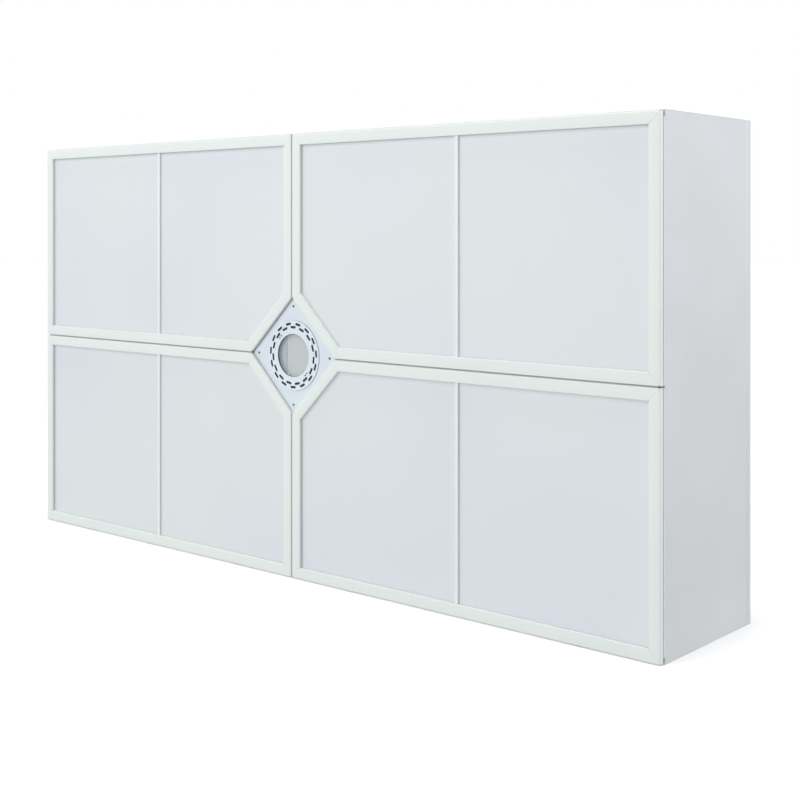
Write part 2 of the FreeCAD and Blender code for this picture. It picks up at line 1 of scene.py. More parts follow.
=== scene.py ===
"""The looks of the laminar flow ceiling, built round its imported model.

Everything is in metres in the model's own frame.  Sizes are given in millimetres and turned
by MM.  "Unit" places are measured as on the unit: x from the vertical centre line, y from the
door faces towards the back, z from the horizontal centre line.
"""
import bmesh
import bpy
import json
import math
from mathutils import Matrix, Vector, noise

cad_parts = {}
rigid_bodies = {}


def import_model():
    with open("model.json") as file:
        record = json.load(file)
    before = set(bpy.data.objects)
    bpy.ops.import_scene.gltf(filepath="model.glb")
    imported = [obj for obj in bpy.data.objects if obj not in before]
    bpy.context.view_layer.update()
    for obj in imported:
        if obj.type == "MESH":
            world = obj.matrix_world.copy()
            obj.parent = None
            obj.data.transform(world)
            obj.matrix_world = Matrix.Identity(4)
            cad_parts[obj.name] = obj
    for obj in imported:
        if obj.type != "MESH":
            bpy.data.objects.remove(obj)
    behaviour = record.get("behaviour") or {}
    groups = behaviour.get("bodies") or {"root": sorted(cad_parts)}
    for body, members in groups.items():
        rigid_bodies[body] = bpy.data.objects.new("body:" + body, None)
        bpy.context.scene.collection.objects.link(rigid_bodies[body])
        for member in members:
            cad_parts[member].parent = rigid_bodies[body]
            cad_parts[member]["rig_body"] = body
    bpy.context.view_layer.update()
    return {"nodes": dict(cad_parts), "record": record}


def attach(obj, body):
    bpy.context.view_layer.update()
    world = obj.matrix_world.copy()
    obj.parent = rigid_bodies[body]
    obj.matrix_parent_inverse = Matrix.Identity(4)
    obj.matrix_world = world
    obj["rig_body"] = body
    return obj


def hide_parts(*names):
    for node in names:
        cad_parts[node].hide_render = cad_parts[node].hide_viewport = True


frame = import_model()

MM = 0.001

# Overall sizes of the unit, as in the model
HALF_W = 1300.0
HALF_H = 700.0
UNIT_FRONT = -280.0

# The cloths: how far their edge lies inside the door's edge, and the door's own lines
DOOR_GAP = 5.0
DOOR_INSET = 3.0
COVER_HALF = 131.0
COVER_EDGE = 127.0
FRAME_W = 34.0
CLOTH_EDGE_U = 24.3
CLOTH_FRONT_Y = 9.15
CLOTH_T = 0.25
CLOTH_CELL = 12.5

# The filters
FILTER_NEAR = 103.0
FILTER_FAR_X = 1273.0
FILTER_FAR_Z = 673.0
CASE_WALL = 2.0
PACK_FRONT_Y = 154.4
PACK_DEPTH = 60.2
PLEAT_PITCH = 5.0
THREAD_COUNT = 22
THREAD_T = 1.4

# The stepped joint between the walls and the back panel
LAP_Y = 478.9
BEAD_R = 1.1
BEAD_INSET = 0.9

# The ring
RING_R = 111.0
RING_FRONT_Y = 8.0
RING_T = 1.2
RING_HOLE_R = 68.0
RING_WALL = 1.5
RING_COLLAR_D = 12.0
SLOT_COUNT = 15
SLOT_L = 23.0
SLOT_W = 8.0
SLOT_OUTER_R = 100.0
SLOT_INNER_R = 89.0
EYELET_R = 3.0
EYELET_CIRCLE_R = 79.5
EYELET_SPREAD = 10.0

# Behind the ring: its gasket, whose dark grey is partly painted shade at the ring's edge, the edging of its
# opening, painted shade of the opening's wall, and the felt behind its slots, a dark sheet of painted shade in
# them
GASKET_IN_R = 106.2
GASKET_OUT_R = 111.4
GASKET_T = 0.8
EDGING_IN_R = 67.4
EDGING_OUT_R = 68.1
EDGING_BACK_Y = 14.2
SLOT_SHADE_IN_R = 69.45
SLOT_SHADE_OUT_R = 104.5
SLOT_SHADE_T = 1.4
SLOT_SHADE_BACK_Y = 14.6

# The disc that closes the opening, greyer than the ring as painted shade; its leaf, a darker lilac sheet of
# painted shade, has its straight edge LEAF_X left of the centre
DISC_R = 67.9
DISC_T = 1.2
DISC_BACK_Y = 19.8
LEAF_X = 36.7
LEAF_R = 67.8
LEAF_FRONT_Y = 17.6
LEAF_BACK_Y = 18.62

# The cover plate's face, and where its screws are
COVER_FRONT_Y = 10.0
COVER_SCREW_OUT = 155.5

# Where the lip seals and edge trims run
LIP_NEAR = 185
LIP_FAR_X = 1286
LIP_FAR_Z = 690
TRIM_X = 1296
TRIM_FAR_Z = 682

# Fixings on the back and on the filter clamps
BRACKET_X = 1150
BRACKET_Z = 550
FOOT_OUT = 45
FOOT_Y = 504
BOLT_PITCH = 26
COLLAR_X = 650
RIVET_OUT_X = 213.7
RIVET_OUT_Z = 138.7
COLLAR_FLANGE_Y = 501.5
RIVET_PITCH = 70
CLAMP_PLACES_X = (395.5, 980.5)
CLAMP_PLACES_Z = (682, 94)
CLAMP_FOOT_Y = 223
CLAMP_SCREW_PITCH = 16
STAKE_PITCH = 224.9
STAKE_FAR_X = 1237
STAKE_FAR_Z = 675

QUARTERS = {
    "upper_left": (-1, 1),
    "upper_right": (1, 1),
    "lower_left": (-1, -1),
    "lower_right": (1, -1),
}

# Turns what is drawn flat, facing up, to face the doors' side
STOOD_UP = Matrix.Rotation(math.pi / 2, 4, "X")


def unit(x, y, z):
    """A unit place in millimetres as a point of the model's frame in metres."""
    return Vector((x, y + UNIT_FRONT, z + HALF_H)) * MM


# Materials

def linear(code):
    """An sRGB hex colour as the linear colour that the shaders use."""
    channels = [int(code[start:start + 2], 16) / 255 for start in (1, 3, 5)]
    return [c / 12.92 if c <= 0.04045 else ((c + 0.055) / 1.055) ** 2.4 for c in channels] + [1.0]


def add(tree, kind, inputs=None, **settings):
    """One node with its settings, and its sockets linked or set by name or number."""
    node = tree.nodes.new(kind)
    for name, value in settings.items():
        setattr(node, name, value)
    for key, value in (inputs or {}).items():
        if isinstance(value, bpy.types.NodeSocket):
            tree.links.new(value, node.inputs[key])
        else:
            node.inputs[key].default_value = value
    return node


def new_material(name, **surface):
    """A material with one surface shader, and the object's own coordinates to draw with."""
    material = bpy.data.materials.new(name)
    material.use_nodes = True
    tree = material.node_tree
    tree.nodes.clear()
    constants = {key.replace("_", " "): value for key, value in surface.items()}
    shader = add(tree, "ShaderNodeBsdfPrincipled", constants)
    add(tree, "ShaderNodeOutputMaterial", {"Surface": shader.outputs["BSDF"]})
    place = add(tree, "ShaderNodeTexCoord").outputs["Object"]
    return material, tree, shader, place


def powder_coat(name, shade, other_shade, roughness, peel=0.06, specks=0.0, gloss=0.15):
    """Baked polyester powder on sheet or extrusion: a satin skin with a fine orange peel.

    The peel's lumps are really about 1 mm; they are drawn 2.5 mm wide so that they show.
    Clouds 420 mm wide shift the colour a little, as the thickness of the powder does, and
    dust specks, where there are any, sit about 55 mm apart.
    """
    material, tree, shader, place = new_material(name, Coat_Weight=gloss, Coat_Roughness=0.22)
    cloud = add(tree, "ShaderNodeTexNoise", {"Vector": place, "Scale": 1 / (420 * MM)})
    spread = add(tree, "ShaderNodeMapRange", {"Value": cloud.outputs["Fac"], "From Min": 0.35, "From Max": 0.65})
    colour = add(tree, "ShaderNodeMix", {0: spread.outputs["Result"], 6: linear(shade), 7: linear(other_shade)},
                 data_type="RGBA").outputs[2]
    if specks:
        dust = add(tree, "ShaderNodeTexVoronoi", {"Vector": place, "Scale": 1 / (55 * MM)})
        spot = add(tree, "ShaderNodeMapRange", {"Value": dust.outputs["Distance"], "From Min": 0.018,
                                                "From Max": 0.03, "To Min": specks, "To Max": 0.0})
        colour = add(tree, "ShaderNodeMix", {0: spot.outputs["Result"], 6: colour, 7: linear("#8E9290")},
                     data_type="RGBA").outputs[2]
    tree.links.new(colour, shader.inputs["Base Color"])
    rub = add(tree, "ShaderNodeTexNoise", {"Vector": place, "Scale": 1 / (130 * MM), "Detail": 4.0})
    worn = add(tree, "ShaderNodeMapRange", {"Value": rub.outputs["Fac"], "From Min": 0.3, "From Max": 0.7,
                                            "To Min": roughness - 0.05, "To Max": roughness + 0.05})
    tree.links.new(worn.outputs["Result"], shader.inputs["Roughness"])
    lumps = add(tree, "ShaderNodeTexNoise", {"Vector": place, "Scale": 1 / (2.5 * MM), "Detail": 1.0})
    bump = add(tree, "ShaderNodeBump", {"Height": lumps.outputs["Fac"], "Strength": peel, "Distance": 0.3 * MM})
    tree.links.new(bump.outputs["Normal"], shader.inputs["Normal"])
    return material


def stretched_cloth():
    """Monofilament polyester in a plain weave, stretched flat: matt, with a slight sheen.

    The threads are really 0.3 mm apart; they are drawn 3.2 mm apart so that they show, with
    the faint slanting bands, 5.4 mm apart, that two layers of such threads give together.
    """
    material, tree, shader, place = new_material(
        "woven_polyester_diffuser_cloth", Roughness=0.62, Sheen_Weight=0.12, Sheen_Roughness=0.5
    )
    bands = 2 * math.pi / (20 * 3.2 * MM)
    warp = add(tree, "ShaderNodeTexWave", {"Vector": place, "Scale": bands}, bands_direction="X")
    weft = add(tree, "ShaderNodeTexWave", {"Vector": place, "Scale": bands}, bands_direction="Z")
    weave = add(tree, "ShaderNodeMath", {0: warp.outputs["Fac"], 1: weft.outputs["Fac"]}, operation="MULTIPLY")
    slanted = add(tree, "ShaderNodeMapping", {"Vector": place, "Rotation": (0, math.radians(34), 0)})
    layers = add(tree, "ShaderNodeTexWave",
                 {"Vector": slanted.outputs["Vector"], "Scale": 2 * math.pi / (20 * 5.4 * MM), "Distortion": 1.5,
                  "Detail": 1.0, "Detail Scale": 0.02}, bands_direction="X")
    depth = add(tree, "ShaderNodeMath", {0: weave.outputs[0], 1: layers.outputs["Fac"]}, operation="ADD")
    shadow = add(tree, "ShaderNodeMapRange", {"Value": depth.outputs[0], "From Min": 0.2, "From Max": 1.4,
                                              "To Min": 0.06, "To Max": 0.0})
    drift = add(tree, "ShaderNodeTexNoise", {"Vector": place, "Scale": 1 / (700 * MM), "Detail": 1.0})
    spread = add(tree, "ShaderNodeMapRange", {"Value": drift.outputs["Fac"], "From Min": 0.35, "From Max": 0.65})
    colour = add(tree, "ShaderNodeMix",
                 {0: spread.outputs["Result"], 6: linear("#DDE3E4"), 7: linear("#DADFE6")}, data_type="RGBA")
    woven = add(tree, "ShaderNodeMix", {0: shadow.outputs["Result"], 6: colour.outputs[2], 7: linear("#9AA2A6")},
                data_type="RGBA")
    tree.links.new(woven.outputs[2], shader.inputs["Base Color"])
    bump = add(tree, "ShaderNodeBump", {"Height": weave.outputs[0], "Strength": 0.08, "Distance": 0.2 * MM})
    tree.links.new(bump.outputs["Normal"], shader.inputs["Normal"])
    return material


def rubbery(name, shade, roughness, pore_mm):
    """Extruded rubber or closed-cell foam: matt, its skin broken by pores of the given size."""
    material, tree, shader, place = new_material(name, Roughness=roughness)
    pores = add(tree, "ShaderNodeTexNoise", {"Vector": place, "Scale": 1 / (pore_mm * MM), "Detail": 3.0})
    dark = [channel * 0.8 for channel in linear(shade)[:3]] + [1.0]
    colour = add(tree, "ShaderNodeMix", {0: pores.outputs["Fac"], 6: linear(shade), 7: dark}, data_type="RGBA")
    tree.links.new(colour.outputs[2], shader.inputs["Base Color"])
    bump = add(tree, "ShaderNodeBump", {"Height": pores.outputs["Fac"], "Strength": 0.3, "Distance": 0.2 * MM})
    tree.links.new(bump.outputs["Normal"], shader.inputs["Normal"])
    return material


def bare_metal(name, shade, roughness, grain_mm, stretch):
    """Bare metal: its grain is grain_mm wide and drawn out along the width by the stretch."""
    material, tree, shader, place = new_material(name, Metallic=1.0)
    squeezed = add(tree, "ShaderNodeMapping", {"Vector": place, "Scale": (1 / stretch, 1, 1)})
    grain = add(tree, "ShaderNodeTexNoise",
                {"Vector": squeezed.outputs["Vector"], "Scale": 1 / (grain_mm * MM), "Detail": 3.0})
    dark = [channel * 0.72 for channel in linear(shade)[:3]] + [1.0]
    colour = add(tree, "ShaderNodeMix", {0: grain.outputs["Fac"], 6: linear(shade), 7: dark}, data_type="RGBA")
    tree.links.new(colour.outputs[2], shader.inputs["Base Color"])
    worn = add(tree, "ShaderNodeMapRange", {"Value": grain.outputs["Fac"], "From Min": 0.3, "From Max": 0.7,
                                            "To Min": roughness - 0.06, "To Max": roughness + 0.08})
    tree.links.new(worn.outputs["Result"], shader.inputs["Roughness"])
    bump = add(tree, "ShaderNodeBump", {"Height": grain.outputs["Fac"], "Strength": 0.08, "Distance": 0.1 * MM})
    tree.links.new(bump.outputs["Normal"], shader.inputs["Normal"])
    return material


def spangled_zinc():
    """Hot-dip galvanised steel sheet: flat crystals about 8 mm across, each a little different."""
    material, tree, shader, place = new_material("galvanised_steel_sheet", Metallic=1.0)
    crystals = add(tree, "ShaderNodeTexVoronoi", {"Vector": place, "Scale": 1 / (8 * MM)})
    tone = add(tree, "ShaderNodeSeparateColor", {"Color": crystals.outputs["Color"]}).outputs[0]
    colour = add(tree, "ShaderNodeMix", {0: tone, 6: linear("#B4B8BC"), 7: linear("#9AA0A5")}, data_type="RGBA")
    tree.links.new(colour.outputs[2], shader.inputs["Base Color"])
    worn = add(tree, "ShaderNodeMapRange", {"Value": tone, "To Min": 0.34, "To Max": 0.5})
    tree.links.new(worn.outputs["Result"], shader.inputs["Roughness"])
    return material


def filter_paper():
    """Wet-laid glass-fibre paper: dull white, its fibres matted in felts about 3 mm wide."""
    material, tree, shader, place = new_material("glass_fibre_filter_paper", Roughness=0.9)
    felt = add(tree, "ShaderNodeTexNoise", {"Vector": place, "Scale": 1 / (3 * MM), "Detail": 5.0})
    colour = add(tree, "ShaderNodeMix",
                 {0: felt.outputs["Fac"], 6: linear("#F2F1EC"), 7: linear("#DEDDD6")}, data_type="RGBA")
    tree.links.new(colour.outputs[2], shader.inputs["Base Color"])
    bump = add(tree, "ShaderNodeBump", {"Height": felt.outputs["Fac"], "Strength": 0.25, "Distance": 0.3 * MM})
    tree.links.new(bump.outputs["Normal"], shader.inputs["Normal"])
    return material


def sealant():
    """White silicone run into a joint and wiped: smooth, a little wet looking, wiped in 14 mm strokes."""
    material, tree, shader, place = new_material("white_silicone_sealant", Roughness=0.25)
    wipe = add(tree, "ShaderNodeTexNoise", {"Vector": place, "Scale": 1 / (14 * MM)})
    colour = add(tree, "ShaderNodeMix",
                 {0: wipe.outputs["Fac"], 6: linear("#F6F8F8"), 7: linear("#E9EDEE")}, data_type="RGBA")
    tree.links.new(colour.outputs[2], shader.inputs["Base Color"])
    bump = add(tree, "ShaderNodeBump", {"Height": wipe.outputs["Fac"], "Strength": 0.2, "Distance": 0.4 * MM})
    tree.links.new(bump.outputs["Normal"], shader.inputs["Normal"])
    return material


FINISH = {
    "frame_coat": powder_coat("powder_coated_aluminium_extrusion", "#E0E7E3", "#DDE5E3", 0.36, specks=0.5),
    "rib_coat": powder_coat("glossy_powder_coated_rib", "#E6EAE9", "#E3E7E8", 0.2, gloss=0.6),
    "casing_coat": powder_coat("powder_coated_folded_steel", "#CED1D6", "#C9CDD0", 0.42),
    "inner_coat": powder_coat("powder_coated_inner_steel", "#DFE2F0", "#DBDFEC", 0.45),
    # The blanking plate's near white is painted light, to make up for the little light deep in its sleeve
    "blank_coat": powder_coat("blanking_plate_painted_light_white", "#F3F7F8", "#F0F5F6", 0.45),
    "cover_coat": powder_coat("powder_coated_cover_plate", "#D6E1EA", "#D2DCE8", 0.36),
    "ring_coat": powder_coat("powder_coated_slotted_ring", "#D9E4ED", "#D5DFEB", 0.34),
    "diffuser_cloth": stretched_cloth(),
    "spline_rubber": rubbery("light_grey_rubber_spline", "#B9BDBC", 0.7, 1.5),
    "seal_foam": rubbery("light_grey_closed_cell_foam", "#D9DADB", 0.85, 0.9),
    "gasket_rubber": rubbery("black_moulded_gasket_rubber", "#303133", 0.75, 1.2),
    "steel": bare_metal("plain_spring_steel", "#8E9194", 0.3, 0.8, 6.0),
    "cast_key": bare_metal("die_cast_zinc_key", "#9C9EA0", 0.48, 2.0, 1.0),
    "case_metal": bare_metal("satin_anodised_aluminium", "#C4C7CA", 0.38, 1.2, 18.0),
    "filter_paper": filter_paper(),
    "galvanised": spangled_zinc(),
}
SEALANT = sealant()
# Extruded rubber and sponge: no gloss, so that the seams read as soft lines between the coated parts
LIP_RUBBER = rubbery("pale_extruded_lip_seal", "#C9D2D6", 0.6, 1.2)
COVER_LIP_RUBBER = rubbery("lilac_white_lip_seal", "#DAD8E6", 0.6, 1.2)
# The gasket's dark grey is partly painted shade: it draws the dark line round the ring's outer edge
GASKET_GREY_AND_EDGE_SHADE = rubbery("grey_gasket_and_painted_edge_shade", "#545C63", 0.8, 0.8)
JOINT_GREY = rubbery("grey_joint_filler", "#6F777A", 0.7, 1.0)
# What closes the opening: dull coats, greyer than the ring, so that the opening reads as recessed: painted shade;
# the leaf's lilac grey is the painted shade of a band over the disc's left part
DISC_PAINTED_SHADE_GREY = powder_coat("closing_disc_painted_shade_grey", "#BEC6C9", "#BAC1C3", 0.45)
LEAF_PAINTED_SHADE = powder_coat("leaf_painted_shade_lilac_grey", "#AFB7C2", "#ABB2BF", 0.45)
# Round the opening and behind the slots: dark, rough and light-catching nowhere, so their edges stay crisp; the
# edging's grey green is painted shade of the opening's inner wall, the felt's painted shade in the slots
EDGING_PAINTED_SHADE = rubbery("grey_green_edging_painted_shade", "#5C6864", 0.6, 1.2)
SLOT_PAINTED_SHADE = rubbery("grey_green_felt_painted_slot_shade", "#5E645C", 0.95, 0.8)
# Oil-blackened steel: almost black, with a dull glint on the rim of each head
SCREW_BLACK = bare_metal("blackened_steel_screw", "#171B1D", 0.42, 0.6, 1.0)

# How far the edges of each finish's pieces are eased, in millimetres
EASE = {
    "frame_coat": 0.9,
    "rib_coat": 1.1,
    "casing_coat": 0.5,
    "inner_coat": 0.4,
    "blank_coat": 0.4,
    "cover_coat": 0.7,
    "spline_rubber": 2.2,
    "seal_foam": 1.3,
    "gasket_rubber": 1.6,
    "steel": 0.25,
    "cast_key": 0.5,
    "case_metal": 0.4,
    "galvanised": 0.5,
}


# Making pieces

def new_piece(name, mesh, material):
    """An object for a mesh that is already in its place."""
    piece = bpy.data.objects.new(name, mesh)
    bpy.context.scene.collection.objects.link(piece)
    mesh.materials.clear()
    mesh.materials.append(material)
    return piece


def bake(piece):
    """Apply the piece's modifiers to its mesh, so that none of them is left."""
    seen = piece.evaluated_get(bpy.context.evaluated_depsgraph_get())
    baked = bpy.data.meshes.new_from_object(seen)
    piece.modifiers.clear()
    piece.data = baked
    return piece


def finish_piece(piece, body, slot, *nodes):
    """Say what the piece rides on and hide the nodes it stands for; the slot it is given is not used."""
    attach(piece, body)
    if nodes:
        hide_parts(*nodes)
    return piece


def eased_copy(node, slot):
    """A node's own shape with its faces merged and its edges eased as bent or drawn metal's are."""
    width = EASE[slot] * MM
    shape = bmesh.new()
    shape.from_mesh(frame["nodes"][node].data)
    bmesh.ops.remove_doubles(shape, verts=shape.verts, dist=0.01 * MM)
    bmesh.ops.dissolve_limit(
        shape, angle_limit=math.radians(1), verts=shape.verts, edges=shape.edges
    )
    weight = shape.edges.layers.float.new("bevel_weight_edge")
    for edge in shape.edges:
        if not edge.is_manifold or edge.calc_face_angle() <= math.radians(28):
            continue
        if edge.calc_length() > 2.2 * width:
            edge[weight] = 1.0
        else:
            edge.smooth = False
    mesh = bpy.data.meshes.new(node + "_finished")
    shape.to_mesh(mesh)
    shape.free()
    for face in mesh.polygons:
        face.use_smooth = True
    piece = new_piece(node + "_finished", mesh, FINISH[slot])
    easing = piece.modifiers.new("ease", "BEVEL")
    easing.limit_method = "WEIGHT"
    easing.width = width
    easing.segments = 2
    easing.use_clamp_overlap = True
    evening = piece.modifiers.new("even_shading", "WEIGHTED_NORMAL")
    evening.keep_sharp = True
    bake(piece)
    return finish_piece(piece, frame["nodes"][node]["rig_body"], slot, node)


def door_corners(u, side, level):
    """The five corners of a door's outline, u inside its edge, as unit (x, z)."""
    near = DOOR_GAP / 2 + u
    far_x = HALF_W - DOOR_INSET - u
    far_z = HALF_H - DOOR_INSET - u
    cut = math.sqrt(2) * (COVER_HALF + u)
    corners = [(near, far_z), (far_x, far_z), (far_x, near), (cut - near, near), (near, cut - near)]
    return [(side * x, level * z) for x, z in corners]


def stretched_over(quarter, side, level):
    """One cloth: a fine grid cut to the door's outline, with the slight puckers of its edge."""
    corners = door_corners(CLOTH_EDGE_U, side, level)
    xs = [x for x, z in corners]
    zs = [z for x, z in corners]
    columns = round((max(xs) - min(xs)) / CLOTH_CELL)
    rows = round((max(zs) - min(zs)) / CLOTH_CELL)
    shape = bmesh.new()
    grid = []
    for row in range(rows + 1):
        z = min(zs) + (max(zs) - min(zs)) * row / rows
        line = []
        for column in range(columns + 1):
            x = min(xs) + (max(xs) - min(xs)) * column / columns
            line.append(shape.verts.new((x, 0, z)))
        grid.append(line)
    for row in range(rows):
        for column in range(columns):
            shape.faces.new((grid[row][column], grid[row][column + 1],
                             grid[row + 1][column + 1], grid[row + 1][column]))
    first, last = Vector((corners[3][0], 0, corners[3][1])), Vector((corners[4][0], 0, corners[4][1]))
    outward = -(first + last).normalized()
    everything = shape.verts[:] + shape.edges[:] + shape.faces[:]
    bmesh.ops.bisect_plane(shape, geom=everything, plane_co=first, plane_no=outward, clear_outer=True)
    middle = Vector((sum(xs) / 5, 0, sum(zs) / 5))
    for vert in shape.verts:
        x, z = vert.co.x, vert.co.z
        edge = min(x - min(xs), max(xs) - x, z - min(zs), max(zs) - z, abs((vert.co - first).dot(outward)))
        hold = min(1.0, edge / 40)
        pucker = math.exp(-edge / 110) * noise.noise(Vector((x / 45, 3.0 * side, z / 45)))
        swell = noise.noise(Vector((x / 330, 7.0 * level, z / 330)))
        drift = hold * (0.16 * pucker + 0.5 * swell * min(1.0, edge / 200))
        vert.co = unit(x, CLOTH_FRONT_Y + 0.35 + max(-0.3, min(0.3, drift)), z)
    mesh = bpy.data.meshes.new(quarter + "_cloth")
    bmesh.ops.recalc_face_normals(shape, faces=shape.faces)
    if sum(face.normal.y for face in shape.faces) > 0:
        bmesh.ops.reverse_faces(shape, faces=shape.faces)
    shape.to_mesh(mesh)
    shape.free()
    for face in mesh.polygons:
        face.use_smooth = True
    piece = new_piece(quarter + "_cloth", mesh, FINISH["diffuser_cloth"])
    wall = piece.modifiers.new("thickness", "SOLIDIFY")
    wall.thickness = CLOTH_T * MM
    wall.offset = -1
    bake(piece)
    node = quarter + "_membrane"
    finish_piece(piece, frame["nodes"][node]["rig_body"], "diffuser_cloth", node)
    return piece


# Geometry node trees

def new_tree(name, sizes):
    """An empty geometry node tree with a named input for each size, and its material input."""
    tree = bpy.data.node_groups.new(name, "GeometryNodeTree")
    tree.interface.new_socket("Geometry", in_out="INPUT", socket_type="NodeSocketGeometry")
    tree.interface.new_socket("Geometry", in_out="OUTPUT", socket_type="NodeSocketGeometry")
    for size, kind in sizes.items():
        tree.interface.new_socket(size, in_out="INPUT", socket_type="NodeSocket" + kind)
    tree.interface.new_socket("Material", in_out="INPUT", socket_type="NodeSocketMaterial")
    given = add(tree, "NodeGroupInput").outputs
    return tree, given


def end_tree(tree, given, geometry):
    """The end of every tree: real geometry in the given material."""
    real = add(tree, "GeometryNodeRealizeInstances", {"Geometry": geometry}).outputs["Geometry"]
    painted = add(tree, "GeometryNodeSetMaterial", {"Geometry": real, "Material": given["Material"]})
    add(tree, "NodeGroupOutput", {"Geometry": painted.outputs["Geometry"]})
    return tree


def grow(piece, tree, values):
    """Put a tree on a piece, with the named values as its inputs."""
    modifier = piece.modifiers.new("grow", "NODES")
    modifier.node_group = tree
    for item in tree.interface.items_tree:
        if item.in_out == "INPUT" and item.name in values:
            modifier[item.identifier] = values[item.name]


def ring_tree():
    """A flat ring with two staggered rows of rounded slots, two pairs of eyelets and a collar."""
    tree, given = new_tree("slotted_ring", {
        "Radius": "Float", "Hole radius": "Float", "Thickness": "Float", "Collar wall": "Float",
        "Collar depth": "Float", "Slots": "Int", "Slot length": "Float", "Slot width": "Float",
        "Outer row": "Float", "Inner row": "Float", "Eyelet radius": "Float", "Eyelet circle": "Float",
        "Eyelet spread": "Float",
    })

    outline = add(tree, "GeometryNodeCurvePrimitiveQuadrilateral",
                  {"Width": given["Slot width"], "Height": given["Slot length"]}).outputs["Curve"]
    half = add(tree, "ShaderNodeMath", {0: given["Slot width"], 1: 0.4999}, operation="MULTIPLY").outputs[0]
    slot = add(tree, "GeometryNodeFilletCurve",
               {"Curve": outline, "Radius": half, "Limit Radius": True, "Count": 4}, mode="POLY").outputs["Curve"]
    outer = add(tree, "GeometryNodeCurvePrimitiveCircle", {"Resolution": 144, "Radius": given["Radius"]})
    hole = add(tree, "GeometryNodeCurvePrimitiveCircle", {"Resolution": 128, "Radius": given["Hole radius"]})
    curves = [outer.outputs["Curve"], hole.outputs["Curve"]]
    for radius, start in ((given["Outer row"], -90.0), (given["Inner row"], 90.0)):
        line = add(tree, "GeometryNodeMeshLine", {"Count": given["Slots"], "Offset": (0, 0, 0)}).outputs["Mesh"]
        number = add(tree, "GeometryNodeInputIndex").outputs[0]
        step = add(tree, "ShaderNodeMath", {0: 2 * math.pi, 1: given["Slots"]}, operation="DIVIDE").outputs[0]
        turn_on = add(tree, "ShaderNodeMath", {0: number, 1: step}, operation="MULTIPLY").outputs[0]
        angle = add(tree, "ShaderNodeMath", {0: turn_on, 1: math.radians(start)}, operation="ADD").outputs[0]
        turn = add(tree, "ShaderNodeCombineXYZ", {"Z": angle}).outputs["Vector"]
        arm = add(tree, "ShaderNodeCombineXYZ", {"X": radius}).outputs["Vector"]
        spot = add(tree, "ShaderNodeVectorRotate", {"Vector": arm, "Rotation": turn},
                   rotation_type="EULER_XYZ").outputs["Vector"]
        placed = add(tree, "GeometryNodeSetPosition", {"Geometry": line, "Position": spot}).outputs["Geometry"]
        copies = add(tree, "GeometryNodeInstanceOnPoints",
                     {"Points": placed, "Instance": slot, "Rotation": turn}).outputs["Instances"]
        curves.append(add(tree, "GeometryNodeRealizeInstances", {"Geometry": copies}).outputs["Geometry"])
    for middle in (135.0, -45.0):
        for way in (-0.5, 0.5):
            apart = add(tree, "ShaderNodeMath", {0: given["Eyelet spread"], 1: given["Eyelet circle"]},
                        operation="DIVIDE").outputs[0]
            aside = add(tree, "ShaderNodeMath", {0: apart, 1: way}, operation="MULTIPLY").outputs[0]
            angle = add(tree, "ShaderNodeMath", {0: aside, 1: math.radians(middle)}, operation="ADD").outputs[0]
            cosine = add(tree, "ShaderNodeMath", {0: angle}, operation="COSINE").outputs[0]
            sine = add(tree, "ShaderNodeMath", {0: angle}, operation="SINE").outputs[0]
            across = add(tree, "ShaderNodeMath", {0: given["Eyelet circle"], 1: cosine},
                         operation="MULTIPLY").outputs[0]
            up = add(tree, "ShaderNodeMath", {0: given["Eyelet circle"], 1: sine},
                     operation="MULTIPLY").outputs[0]
            spot = add(tree, "ShaderNodeCombineXYZ", {"X": across, "Y": up}).outputs["Vector"]
            eyelet = add(tree, "GeometryNodeCurvePrimitiveCircle",
                         {"Resolution": 16, "Radius": given["Eyelet radius"]}).outputs["Curve"]
            placed = add(tree, "GeometryNodeTransform", {"Geometry": eyelet, "Translation": spot})
            curves.append(placed.outputs["Geometry"])
    joined = add(tree, "GeometryNodeJoinGeometry")
    for curve in reversed(curves):
        tree.links.new(curve, joined.inputs[0])
    collar_out = add(tree, "ShaderNodeMath", {0: given["Hole radius"], 1: given["Collar wall"]},
                     operation="ADD").outputs[0]
    behind = add(tree, "ShaderNodeMath", {0: given["Collar depth"], 1: given["Thickness"]},
                 operation="SUBTRACT").outputs[0]
    rim = add(tree, "GeometryNodeCurvePrimitiveCircle", {"Resolution": 128, "Radius": collar_out})
    rims = add(tree, "GeometryNodeJoinGeometry")
    for curve in (hole.outputs["Curve"], rim.outputs["Curve"]):
        tree.links.new(curve, rims.inputs[0])
    solids = add(tree, "GeometryNodeJoinGeometry")
    for outline, push, lift in ((joined.outputs[0], given["Thickness"], 0.0), (rims.outputs[0], behind, 1.0)):
        sheet = add(tree, "GeometryNodeFillCurve", {"Curve": outline}, mode="NGONS").outputs["Mesh"]
        pushed = add(tree, "GeometryNodeExtrudeMesh", {"Mesh": sheet, "Offset Scale": push, "Individual": False})
        under = add(tree, "GeometryNodeFlipFaces", {"Mesh": sheet}).outputs["Mesh"]
        both = add(tree, "GeometryNodeJoinGeometry")
        tree.links.new(under, both.inputs[0])
        tree.links.new(pushed.outputs["Mesh"], both.inputs[0])
        welded = add(tree, "GeometryNodeMergeByDistance", {"Geometry": both.outputs[0], "Distance": 0.001 * MM})
        down = add(tree, "ShaderNodeMath", {0: push, 1: -lift}, operation="MULTIPLY").outputs[0]
        moved = add(tree, "ShaderNodeCombineXYZ", {"Z": down}).outputs["Vector"]
        placed = add(tree, "GeometryNodeTransform",
                     {"Geometry": welded.outputs["Geometry"], "Translation": moved}).outputs["Geometry"]
        tree.links.new(placed, solids.inputs[0])
    return end_tree(tree, given, solids.outputs[0])


